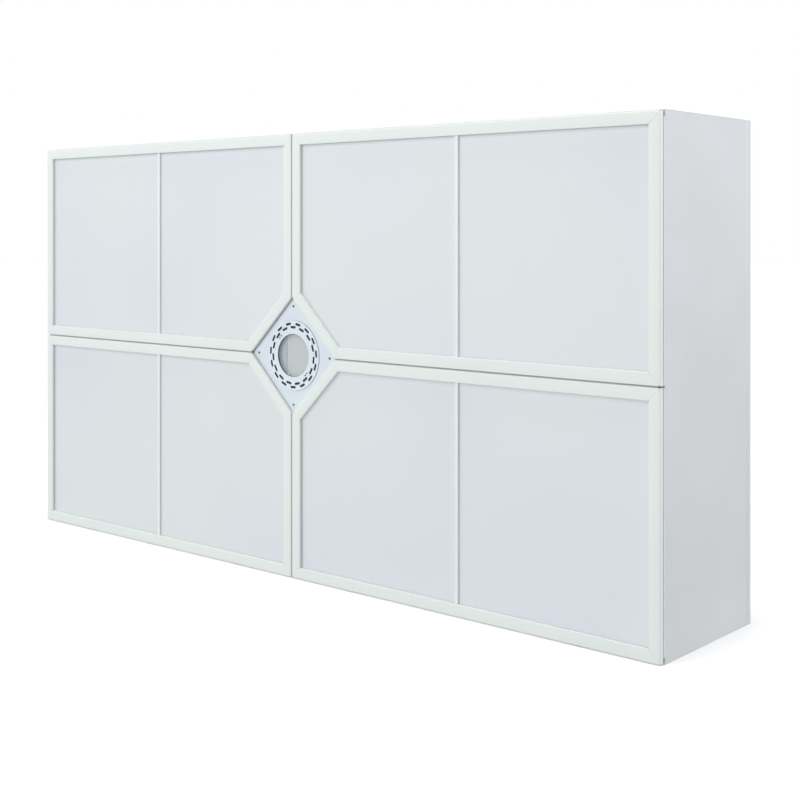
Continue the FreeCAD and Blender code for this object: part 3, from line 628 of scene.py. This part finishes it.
def row_tree():
    """Copies of one head along every edge it is given, each turned to face as its edge says."""
    tree, given = new_tree("row_of_fixings", {"Head": "Object", "Pitch": "Float"})
    path = add(tree, "GeometryNodeMeshToCurve", {"Mesh": given["Geometry"]}).outputs["Curve"]
    spots = add(tree, "GeometryNodeResampleCurve", {"Curve": path, "Length": given["Pitch"]},
                mode="LENGTH").outputs["Curve"]
    facing = add(tree, "GeometryNodeInputNamedAttribute", {"Name": "facing"}, data_type="FLOAT_VECTOR")
    turn = add(tree, "FunctionNodeAlignRotationToVector", {"Vector": facing.outputs["Attribute"]}, axis="Z")
    head = add(tree, "GeometryNodeObjectInfo", {"Object": given["Head"]}).outputs["Geometry"]
    copies = add(tree, "GeometryNodeInstanceOnPoints",
                 {"Points": spots, "Instance": head, "Rotation": turn.outputs["Rotation"]}).outputs["Instances"]
    return end_tree(tree, given, copies)


def pleat_tree():
    """One filter's pack: a finely folded sheet with hot-melt threads across the folds."""
    tree, given = new_tree("pleated_pack", {
        "Folds": "Int", "Width": "Float", "Depth": "Float", "Height": "Float",
        "Threads": "Int", "Thread": "Float",
    })
    step = add(tree, "ShaderNodeMath", {0: given["Width"], 1: given["Folds"]}, operation="DIVIDE").outputs[0]
    stride = add(tree, "ShaderNodeCombineXYZ", {"X": step}).outputs["Vector"]
    count = add(tree, "ShaderNodeMath", {0: given["Folds"], 1: 1}, operation="ADD").outputs[0]
    line = add(tree, "GeometryNodeMeshLine", {"Count": count, "Offset": stride}).outputs["Mesh"]
    number = add(tree, "GeometryNodeInputIndex").outputs[0]
    odd = add(tree, "ShaderNodeMath", {0: number, 1: 2}, operation="MODULO").outputs[0]
    depth = add(tree, "ShaderNodeMath", {0: odd, 1: given["Depth"]}, operation="MULTIPLY").outputs[0]
    back = add(tree, "ShaderNodeCombineXYZ", {"Y": depth}).outputs["Vector"]
    folded = add(tree, "GeometryNodeSetPosition", {"Geometry": line, "Offset": back}).outputs["Geometry"]
    rise = add(tree, "ShaderNodeCombineXYZ", {"Z": given["Height"]}).outputs["Vector"]
    sheet = add(tree, "GeometryNodeExtrudeMesh", {"Mesh": folded, "Offset": rise}, mode="EDGES").outputs["Mesh"]
    gap = add(tree, "ShaderNodeMath", {0: given["Height"], 1: given["Threads"]}, operation="DIVIDE").outputs[0]
    climb = add(tree, "ShaderNodeCombineXYZ", {"Z": gap}).outputs["Vector"]
    middle = add(tree, "ShaderNodeMath", {0: given["Width"], 1: 0.5}, operation="MULTIPLY").outputs[0]
    first = add(tree, "ShaderNodeMath", {0: gap, 1: 0.5}, operation="MULTIPLY").outputs[0]
    start = add(tree, "ShaderNodeCombineXYZ", {"X": middle, "Z": first})
    rungs = add(tree, "GeometryNodeMeshLine", {"Count": given["Threads"], "Offset": climb,
                                               "Start Location": start.outputs["Vector"]}).outputs["Mesh"]
    size = add(tree, "ShaderNodeCombineXYZ", {"X": given["Width"], "Y": given["Thread"], "Z": given["Thread"]})
    thread = add(tree, "GeometryNodeMeshCube", {"Size": size.outputs["Vector"]}).outputs["Mesh"]
    threads = add(tree, "GeometryNodeInstanceOnPoints", {"Points": rungs, "Instance": thread}).outputs["Instances"]
    both = add(tree, "GeometryNodeJoinGeometry")
    tree.links.new(threads, both.inputs[0])
    tree.links.new(sheet, both.inputs[0])
    packs = add(tree, "GeometryNodeInstanceOnPoints", {"Points": given["Geometry"], "Instance": both.outputs[0]})
    return end_tree(tree, given, packs.outputs["Instances"])


def bead_tree():
    """A bead run round a rectangle."""
    tree, given = new_tree("bead_round_the_lap", {"Width": "Float", "Height": "Float", "Bead radius": "Float"})
    path = add(tree, "GeometryNodeCurvePrimitiveQuadrilateral",
               {"Width": given["Width"], "Height": given["Height"]}).outputs["Curve"]
    section = add(tree, "GeometryNodeCurvePrimitiveCircle",
                  {"Resolution": 10, "Radius": given["Bead radius"]}).outputs["Curve"]
    bead = add(tree, "GeometryNodeCurveToMesh", {"Curve": path, "Profile Curve": section}).outputs["Mesh"]
    return end_tree(tree, given, bead)


def make_ring():
    """The slotted ring: drawn flat, then stood up at its place in front of the cover plate."""
    piece = new_piece("slotted_ring_finished", bpy.data.meshes.new("slotted_ring_finished"), FINISH["ring_coat"])
    grow(piece, ring_tree(), {
        "Radius": RING_R * MM, "Hole radius": RING_HOLE_R * MM, "Thickness": RING_T * MM,
        "Collar wall": RING_WALL * MM, "Collar depth": RING_COLLAR_D * MM, "Slots": SLOT_COUNT,
        "Slot length": SLOT_L * MM, "Slot width": SLOT_W * MM, "Outer row": SLOT_OUTER_R * MM,
        "Inner row": SLOT_INNER_R * MM, "Eyelet radius": EYELET_R * MM,
        "Eyelet circle": EYELET_CIRCLE_R * MM, "Eyelet spread": EYELET_SPREAD * MM,
        "Material": FINISH["ring_coat"],
    })
    easing = piece.modifiers.new("ease", "BEVEL")
    easing.limit_method = "ANGLE"
    easing.angle_limit = math.radians(50)
    easing.width = 0.3 * MM
    easing.segments = 2
    easing.harden_normals = True
    bake(piece)
    piece.data.transform(Matrix.Translation(unit(0, RING_FRONT_Y + RING_T, 0)) @ STOOD_UP)
    return finish_piece(piece, "root", "ring_coat", "slotted_ring")


def turned(name, profile, sides):
    """A head turned round its own axis from (radius, height) points in millimetres."""
    shape = bmesh.new()
    rings = []
    for radius, height in profile:
        if radius == 0:
            rings.append([shape.verts.new((0, 0, height * MM))] * sides)
            continue
        ring = []
        for side in range(sides):
            angle = 2 * math.pi * side / sides
            across, up = radius * MM * math.cos(angle), radius * MM * math.sin(angle)
            ring.append(shape.verts.new((across, up, height * MM)))
        rings.append(ring)
    for lower, upper in zip(rings, rings[1:]):
        for side in range(sides):
            after = (side + 1) % sides
            corners = []
            for vert in (lower[side], lower[after], upper[after], upper[side]):
                if vert not in corners:
                    corners.append(vert)
            shape.faces.new(corners)
    bmesh.ops.remove_doubles(shape, verts=shape.verts, dist=0.001 * MM)
    bmesh.ops.recalc_face_normals(shape, faces=shape.faces)
    mesh = bpy.data.meshes.new(name)
    shape.to_mesh(mesh)
    shape.free()
    return mesh


def head_object(name, *meshes):
    """A master that the rows copy; it is removed once they are baked."""
    shape = bmesh.new()
    for mesh in meshes:
        shape.from_mesh(mesh)
    mesh = bpy.data.meshes.new(name)
    shape.to_mesh(mesh)
    shape.free()
    head = bpy.data.objects.new(name, mesh)
    bpy.context.scene.collection.objects.link(head)
    return head


def blind_rivet():
    """A dome-headed blind rivet, its mandrel broken off inside its rim."""
    profile = [(0, -0.4), (4, -0.4), (4, 0.1), (3.5, 0.6), (2.4, 1.05), (1.35, 1.2), (1.15, 0.55), (0, 0.5)]
    return head_object("blind_rivet", turned("blind_rivet", profile, 14))


def hexagon_bolt():
    """An M8 hexagon bolt head on its washer."""
    washer = turned("washer", [(0, -0.2), (8.4, -0.2), (8.4, 1.3), (8.1, 1.6), (0, 1.6)], 24)
    head = turned("head", [(0, 1.6), (7.5, 1.6), (7.5, 6.4), (6.9, 6.9), (0, 6.9)], 6)
    return head_object("hexagon_bolt", washer, head)


def pan_screw(radius, height, shank_r, shank_l):
    """A pan-headed screw with a cross recess."""
    profile = [(0, -shank_l), (shank_r * 0.6, -shank_l), (shank_r, -shank_l + 1), (shank_r, 0), (radius, 0),
               (radius, height * 0.35), (radius * 0.9, height * 0.75),
               (radius * 0.6, height * 0.95), (0, height)]
    head = head_object("pan_screw", turned("pan_screw", profile, 20))
    for turn in (0, math.pi / 2):
        bar = bmesh.new()
        size = Matrix.Diagonal((radius * 1.15 * MM, radius * 0.24 * MM, height * 1.1 * MM, 1))
        place = Matrix.Translation((0, 0, height * MM)) @ Matrix.Rotation(turn + 0.4, 4, "Z")
        bmesh.ops.create_cube(bar, size=1, matrix=place @ size)
        mesh = bpy.data.meshes.new("recess")
        bar.to_mesh(mesh)
        bar.free()
        cutter = bpy.data.objects.new("recess", mesh)
        bpy.context.scene.collection.objects.link(cutter)
        cut = head.modifiers.new("recess", "BOOLEAN")
        cut.object = cutter
        cut.solver = "EXACT"
        bake(head)
        bpy.data.objects.remove(cutter)
    return head


def fixing_rows(name, rows, head, pitch, slot, body="root"):
    """Heads along straight rows; each row is two unit places and the way its heads face."""
    shape = bmesh.new()
    facing = shape.verts.layers.float_vector.new("facing")
    for start, end, way in rows:
        ends = [shape.verts.new(unit(*start)), shape.verts.new(unit(*end))]
        for vert in ends:
            vert[facing] = Vector(way)
        shape.edges.new(ends)
    mesh = bpy.data.meshes.new(name)
    shape.to_mesh(mesh)
    shape.free()
    piece = new_piece(name, mesh, FINISH[slot])
    grow(piece, ROW_TREE, {"Head": head, "Pitch": pitch * MM, "Material": FINISH[slot]})
    bake(piece)
    return finish_piece(piece, body, slot)


def fold_packs():
    """The four pleated packs, each hung from its lower left front corner inside its case."""
    near = FILTER_NEAR + CASE_WALL
    far = FILTER_FAR_X - CASE_WALL
    high = FILTER_FAR_Z - CASE_WALL
    corners = [unit(x, PACK_FRONT_Y, z) for x in (-far, near) for z in (-high, near)]
    mesh = bpy.data.meshes.new("filter_packs_finished")
    mesh.from_pydata(corners, [], [])
    piece = new_piece("filter_packs_finished", mesh, FINISH["filter_paper"])
    grow(piece, pleat_tree(), {
        "Folds": 2 * round((far - near) / PLEAT_PITCH), "Width": (far - near) * MM, "Depth": PACK_DEPTH * MM,
        "Height": (high - near) * MM, "Threads": THREAD_COUNT, "Thread": THREAD_T * MM,
        "Material": FINISH["filter_paper"],
    })
    bake(piece)
    return finish_piece(piece, "root", "filter_paper", "filter_packs")


def run_bead():
    """White sealant in the stepped joint between the walls and the back panel."""
    piece = new_piece("lap_sealant", bpy.data.meshes.new("lap_sealant"), SEALANT)
    grow(piece, bead_tree(), {
        "Width": 2 * (HALF_W - BEAD_INSET) * MM, "Height": 2 * (HALF_H - BEAD_INSET) * MM,
        "Bead radius": BEAD_R * MM, "Material": SEALANT,
    })
    bake(piece)
    piece.data.transform(Matrix.Translation(unit(0, LAP_Y, 0)) @ STOOD_UP)
    for face in piece.data.polygons:
        face.use_smooth = True
    return finish_piece(piece, "root", "casing_coat")


def strips(name, runs, section, material, body, slot):
    """Straight strips of one section; each run is two unit (x, z) points and the way across."""
    shape = bmesh.new()
    for start, end, across in runs:
        ends = []
        for x, z in (start, end):
            ends.append([shape.verts.new(unit(x + across[0] * out, y, z + across[1] * out)) for out, y in section])
        for first in range(len(section)):
            after = (first + 1) % len(section)
            shape.faces.new((ends[0][first], ends[0][after], ends[1][after], ends[1][first]))
        shape.faces.new(ends[0])
        shape.faces.new(ends[1])
    bmesh.ops.recalc_face_normals(shape, faces=shape.faces)
    mesh = bpy.data.meshes.new(name)
    shape.to_mesh(mesh)
    shape.free()
    return finish_piece(new_piece(name, mesh, material), body, slot)


def round_ring(name, profile, back_y, material, slot):
    """A ring about the lamp opening, turned from (radius, height) points above its back plane."""
    piece = new_piece(name, turned(name, profile + profile[:1], 96), material)
    piece.data.transform(Matrix.Translation(unit(0, back_y, 0)) @ STOOD_UP)
    return finish_piece(piece, "root", slot)


def closing_disc():
    """The grey disc that closes the lamp opening, in front of the model's own blanking plate; its grey is painted
    shade.

    The photograph doesn't show how deep it sits; close behind the ring is a guess.
    """
    profile = [(0, 0), (DISC_R, 0), (DISC_R, DISC_T), (0, DISC_T)]
    piece = new_piece("closing_disc", turned("closing_disc", profile, 96), DISC_PAINTED_SHADE_GREY)
    piece.data.transform(Matrix.Translation(unit(0, DISC_BACK_Y, 0)) @ STOOD_UP)
    finish_piece(piece, "root", "blank_coat")


def disc_leaf():
    """A lilac-grey leaf with one straight edge, over the left part of the disc: a darker sheet of painted shade.
    """
    outline = []
    for step in range(25):
        turn = math.acos(LEAF_X / LEAF_R) * (1 - step / 12)
        outline.append((-LEAF_R * math.cos(turn), LEAF_R * math.sin(turn)))
    shape = bmesh.new()
    sides = [[shape.verts.new(unit(x, y, z)) for x, z in outline] for y in (LEAF_BACK_Y, LEAF_FRONT_Y)]
    shape.faces.new(sides[0])
    shape.faces.new(sides[1])
    for first in range(len(outline)):
        after = (first + 1) % len(outline)
        shape.faces.new((sides[0][first], sides[0][after], sides[1][after], sides[1][first]))
    bmesh.ops.recalc_face_normals(shape, faces=shape.faces)
    mesh = bpy.data.meshes.new("disc_leaf")
    shape.to_mesh(mesh)
    shape.free()
    finish_piece(new_piece("disc_leaf", mesh, LEAF_PAINTED_SHADE), "root", "blank_coat")


# The part

slot_of = {part["node"]: part["material_slot"] for part in frame["record"]["subparts"]}
MADE_ANEW = ("slotted_ring", "filter_packs", "cover_screws")
for node, slot in slot_of.items():
    if node in MADE_ANEW or slot == "diffuser_cloth":
        continue
    if slot in EASE:
        eased_copy(node, slot)
    else:
        cad = frame["nodes"][node]
        cad.data.materials.clear()
        cad.data.materials.append(FINISH[slot])
for quarter, (side, level) in QUARTERS.items():
    stretched_over(quarter, side, level)
make_ring()
fold_packs()
run_bead()

# Soft white strips on the casing's flanges close the gaps behind the doors' outer ends
TRIM = [(0, 19), (0, 16.4), (0.6, 15.8), (2.6, 15.8), (3.2, 16.4), (3.2, 19)]
for name, side in (("left_edge_trim", -1), ("right_edge_trim", 1)):
    runs = []
    for level in (-1, 1):
        low, high = sorted((level * 4, level * TRIM_FAR_Z))
        runs.append(((side * TRIM_X, low), (side * TRIM_X, high), (side, 0)))
    strips(name, runs, TRIM, SEALANT, "root", "seal_foam")

# Pale lips on the doors close the seams between them but for a hair line
LIP = [(-0.15, 9), (-0.15, 5.4), (0.4, 5), (1.7, 5), (2.1, 5.4), (2.1, 9)]
for quarter, (side, level) in QUARTERS.items():
    near = DOOR_GAP / 2
    runs = [
        ((side * near, level * LIP_NEAR), (side * near, level * LIP_FAR_Z), (-side, 0)),
        ((side * LIP_NEAR, level * near), (side * LIP_FAR_X, level * near), (0, -level)),
    ]
    body = frame["nodes"][quarter + "_inner_rail"]["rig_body"]
    strips(quarter + "_lip_seal", runs, LIP, LIP_RUBBER, body, "seal_foam")

# Filler in the mitred joints of the doors' bars
FILLER = [(-0.45, 0.95), (-0.45, 0.4), (0.45, 0.4), (0.45, 0.95)]
for quarter, (side, level) in QUARTERS.items():
    runs = []
    for outer, inner in zip(door_corners(0.9, side, level), door_corners(FRAME_W - 0.9, side, level)):
        along = (Vector(inner) - Vector(outer)).normalized()
        runs.append((outer, inner, (-along.y, along.x)))
    body = frame["nodes"][quarter + "_inner_rail"]["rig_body"]
    strips(quarter + "_mitre_filler", runs, FILLER, JOINT_GREY, body, "frame_coat")

# A lip along each edge of the cover plate, set deeper along the two upper edges
COVER_LIP = [(-0.2, 14), (-0.2, 11.1), (0.3, 10.7), (2.9, 10.7), (3.4, 11.1), (3.4, 14)]
point = math.sqrt(2) * COVER_EDGE
diagonal = math.sqrt(0.5)
for name, level, deeper in (("upper", 1, 3.4), ("lower", -1, 0)):
    runs = []
    for side in (-1, 1):
        start, end = (side * (point - 1), level), (side, level * (point - 1))
        runs.append((start, end, (side * diagonal, level * diagonal)))
    section = [(out, y + deeper) for out, y in COVER_LIP]
    strips(name + "_cover_lip_seals", runs, section, COVER_LIP_RUBBER, "root", "seal_foam")

# Under the ring: its gasket, partly painted shade at the ring's edge, the dark edging of its opening, painted
# shade of its wall, and the dark felt behind its slots, painted shade in them
gasket = [(GASKET_IN_R, 0), (GASKET_OUT_R, 0), (GASKET_OUT_R, GASKET_T), (GASKET_IN_R, GASKET_T)]
round_ring("ring_gasket", gasket, COVER_FRONT_Y, GASKET_GREY_AND_EDGE_SHADE, "gasket_rubber")
edging = [(EDGING_IN_R, 0), (EDGING_OUT_R, 0), (EDGING_OUT_R, 5.6), (EDGING_OUT_R - 0.2, 6.0), (EDGING_IN_R, 5.7)]
round_ring("opening_edging", edging, EDGING_BACK_Y, EDGING_PAINTED_SHADE, "gasket_rubber")
closing_disc()
disc_leaf()
felt = [(SLOT_SHADE_IN_R, 0), (SLOT_SHADE_OUT_R, 0), (SLOT_SHADE_OUT_R, 1.1), (SLOT_SHADE_OUT_R - 0.3, SLOT_SHADE_T), (SLOT_SHADE_IN_R, SLOT_SHADE_T)]
round_ring("slot_felt", felt, SLOT_SHADE_BACK_Y, SLOT_PAINTED_SHADE, "gasket_rubber")

ROW_TREE = row_tree()
rivet = blind_rivet()
bolt = hexagon_bolt()
small_screw = pan_screw(3.0, 1.8, 1.5, 0.4)
cover_screw = pan_screw(4.0, 1.6, 2.0, 14.0)
stake = head_object("stake", turned("stake", [(0, -1.2), (2.2, -1.2), (2.2, -0.25), (1.9, -0.06), (0, -0.06)], 12))

# Two bolts through each foot of the hanging brackets
rows = []
for x in (-BRACKET_X, BRACKET_X):
    for foot in (-FOOT_OUT, FOOT_OUT):
        for z in (-BRACKET_Z, BRACKET_Z):
            ends = [(x + foot, FOOT_Y, z + way * BOLT_PITCH / 2) for way in (-1, 1)]
            rows.append((*ends, (0, 1, 0)))
fixing_rows("bracket_bolts", rows, bolt, BOLT_PITCH, "galvanised")

# Rivets round the flange of each inlet collar
rows = []
for x in (-COLLAR_X, COLLAR_X):
    for z in (-RIVET_OUT_Z, RIVET_OUT_Z):
        ends = [(x + out, COLLAR_FLANGE_Y, z) for out in (-RIVET_OUT_X, RIVET_OUT_X)]
        rows.append((*ends, (0, 1, 0)))
    for out in (-RIVET_OUT_X, RIVET_OUT_X):
        ends = [(x + out, COLLAR_FLANGE_Y, z) for z in (-RIVET_PITCH, RIVET_PITCH)]
        rows.append((*ends, (0, 1, 0)))
fixing_rows("collar_rivets", rows, rivet, RIVET_PITCH, "galvanised")

# Two screws through the foot of each filter clamp
rows = []
for side, level in QUARTERS.values():
    for x in CLAMP_PLACES_X:
        for z in CLAMP_PLACES_Z:
            ends = [(side * x + way * CLAMP_SCREW_PITCH / 2, CLAMP_FOOT_Y, level * z) for way in (-1, 1)]
            rows.append((*ends, (0, -1, 0)))
fixing_rows("clamp_screws", rows, small_screw, CLAMP_SCREW_PITCH, "steel")

# Flush stakes along the stepped joint
rows = []
for side in (-1, 1):
    upright, level = side * HALF_W, side * HALF_H
    rows.append(((upright, LAP_Y, -STAKE_FAR_Z), (upright, LAP_Y, STAKE_FAR_Z), (side, 0, 0)))
    rows.append(((-STAKE_FAR_X, LAP_Y, level), (STAKE_FAR_X, LAP_Y, level), (0, 0, side)))
fixing_rows("lap_stakes", rows, stake, STAKE_PITCH, "casing_coat")

# The four screws of the cover plate, one at each point of the diamond
rows = []
for across, up in ((1, 0), (0, 1), (-1, 0), (0, -1)):
    x, z = across * COVER_SCREW_OUT, up * COVER_SCREW_OUT
    rows.append(((x, COVER_FRONT_Y, z), (x, COVER_FRONT_Y, z + 0.001), (0, -1, 0)))
screws = fixing_rows("cover_screws_finished", rows, cover_screw, 10, "steel")
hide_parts("cover_screws")
screws.data.materials[0] = SCREW_BLACK

for head in (rivet, bolt, small_screw, cover_screw, stake):
    bpy.data.objects.remove(head)


# Floor, light and camera

def pale_floor():
    """A plain pale floor, wide enough to reach the horizon."""
    mesh = bpy.data.meshes.new("floor")
    reach = 40.0
    corners = [(-reach, -reach, 0), (reach, -reach, 0), (reach, reach, 0), (-reach, reach, 0)]
    mesh.from_pydata(corners, [], [(0, 1, 2, 3)])
    material, tree, shader, place = new_material("pale_floor_paint", Roughness=0.9)
    shader.inputs["Base Color"].default_value = linear("#FAFAFA")
    floor = new_piece("floor", mesh, material)
    floor.visible_diffuse = False
    floor.visible_glossy = False


def soft_light(name, place, target, width, height, power):
    """A white rectangular soft light at one place, turned to another."""
    lamp = bpy.data.lights.new(name, "AREA")
    lamp.shape = "RECTANGLE"
    lamp.size = width
    lamp.size_y = height
    lamp.energy = power
    light = bpy.data.objects.new(name, lamp)
    bpy.context.scene.collection.objects.link(light)
    light.location = place
    light.rotation_mode = "QUATERNION"
    light.rotation_quaternion = (Vector(target) - Vector(place)).to_track_quat("-Z", "Y")
    light.visible_camera = False


def distant_light(name, source, strength, spread):
    """Even light from one direction, with soft-edged shadows."""
    lamp = bpy.data.lights.new(name, "SUN")
    lamp.energy = strength
    lamp.angle = math.radians(spread)
    light = bpy.data.objects.new(name, lamp)
    bpy.context.scene.collection.objects.link(light)
    light.rotation_mode = "QUATERNION"
    light.rotation_quaternion = (-Vector(source)).to_track_quat("-Z", "Y")


def white_room(below, level, above, slant):
    """Plain white surroundings: full white to the eye, and as light three soft bands.

    The slant makes the front left and back right corners of the room brighter than the others.
    """
    world = bpy.data.worlds.new("white_room")
    bpy.context.scene.world = world
    world.use_nodes = True
    tree = world.node_tree
    tree.nodes.clear()
    way = add(tree, "ShaderNodeTexCoord").outputs["Generated"]
    parts = add(tree, "ShaderNodeSeparateXYZ", {"Vector": way}).outputs
    height = parts["Z"]
    low = add(tree, "ShaderNodeMapRange",
              {"Value": height, "From Min": -0.06, "From Max": 0.02, "To Min": below, "To Max": level})
    high = add(tree, "ShaderNodeMapRange",
               {"Value": height, "From Min": 0.25, "From Max": 0.55, "To Min": 0.0, "To Max": above - level})
    strength = add(tree, "ShaderNodeMath", {0: low.outputs["Result"], 1: high.outputs["Result"]}, operation="ADD")
    corner = add(tree, "ShaderNodeMath", {0: parts["X"], 1: parts["Y"]}, operation="MULTIPLY")
    lean = add(tree, "ShaderNodeMath", {0: corner.outputs[0], 1: slant, 2: 1.0}, operation="MULTIPLY_ADD")
    strength = add(tree, "ShaderNodeMath", {0: strength.outputs[0], 1: lean.outputs[0]}, operation="MULTIPLY")
    seen = add(tree, "ShaderNodeBackground", {"Color": (1, 1, 1, 1), "Strength": 1.0})
    felt = add(tree, "ShaderNodeBackground", {"Color": (1, 1, 1, 1), "Strength": strength.outputs[0]})
    eye = add(tree, "ShaderNodeLightPath").outputs["Is Camera Ray"]
    both = add(tree, "ShaderNodeMixShader", {0: eye, 1: felt.outputs[0], 2: seen.outputs[0]})
    add(tree, "ShaderNodeOutputWorld", {"Surface": both.outputs[0]})


pale_floor()
white_room(0.84, 1.02, 0.1, 1.4)
distant_light("overhead", (0, 0, 1), 2.4, 20)
distant_light("upper_left", (-0.55, -0.6, 0.58), 0.4, 25)
distant_light("near_camera", (0.681, -0.686, 0.253), 0.4, 5)
soft_light("high_front", (-0.6, -3.0, 4.2), (0, -0.28, 0.9), 3.0, 2.0, 47)
soft_light("right_top", (3.2, 0.0, 3.0), (1.3, 0.0, 0.9), 1.0, 1.0, 20)

camera = bpy.data.cameras.new("camera")
camera.sensor_width = 36
camera.lens = 60.52
camera.shift_x = 0.05
camera.shift_y = -0.2116
viewpoint = bpy.data.objects.new("camera", camera)
bpy.context.scene.collection.objects.link(viewpoint)
viewpoint.location = (2.9759, -3.3009, 1.0934)
viewpoint.rotation_euler = (math.radians(90), 0, 0.7269)
bpy.context.scene.camera = viewpoint
bpy.context.scene.view_settings.view_transform = "Standard"
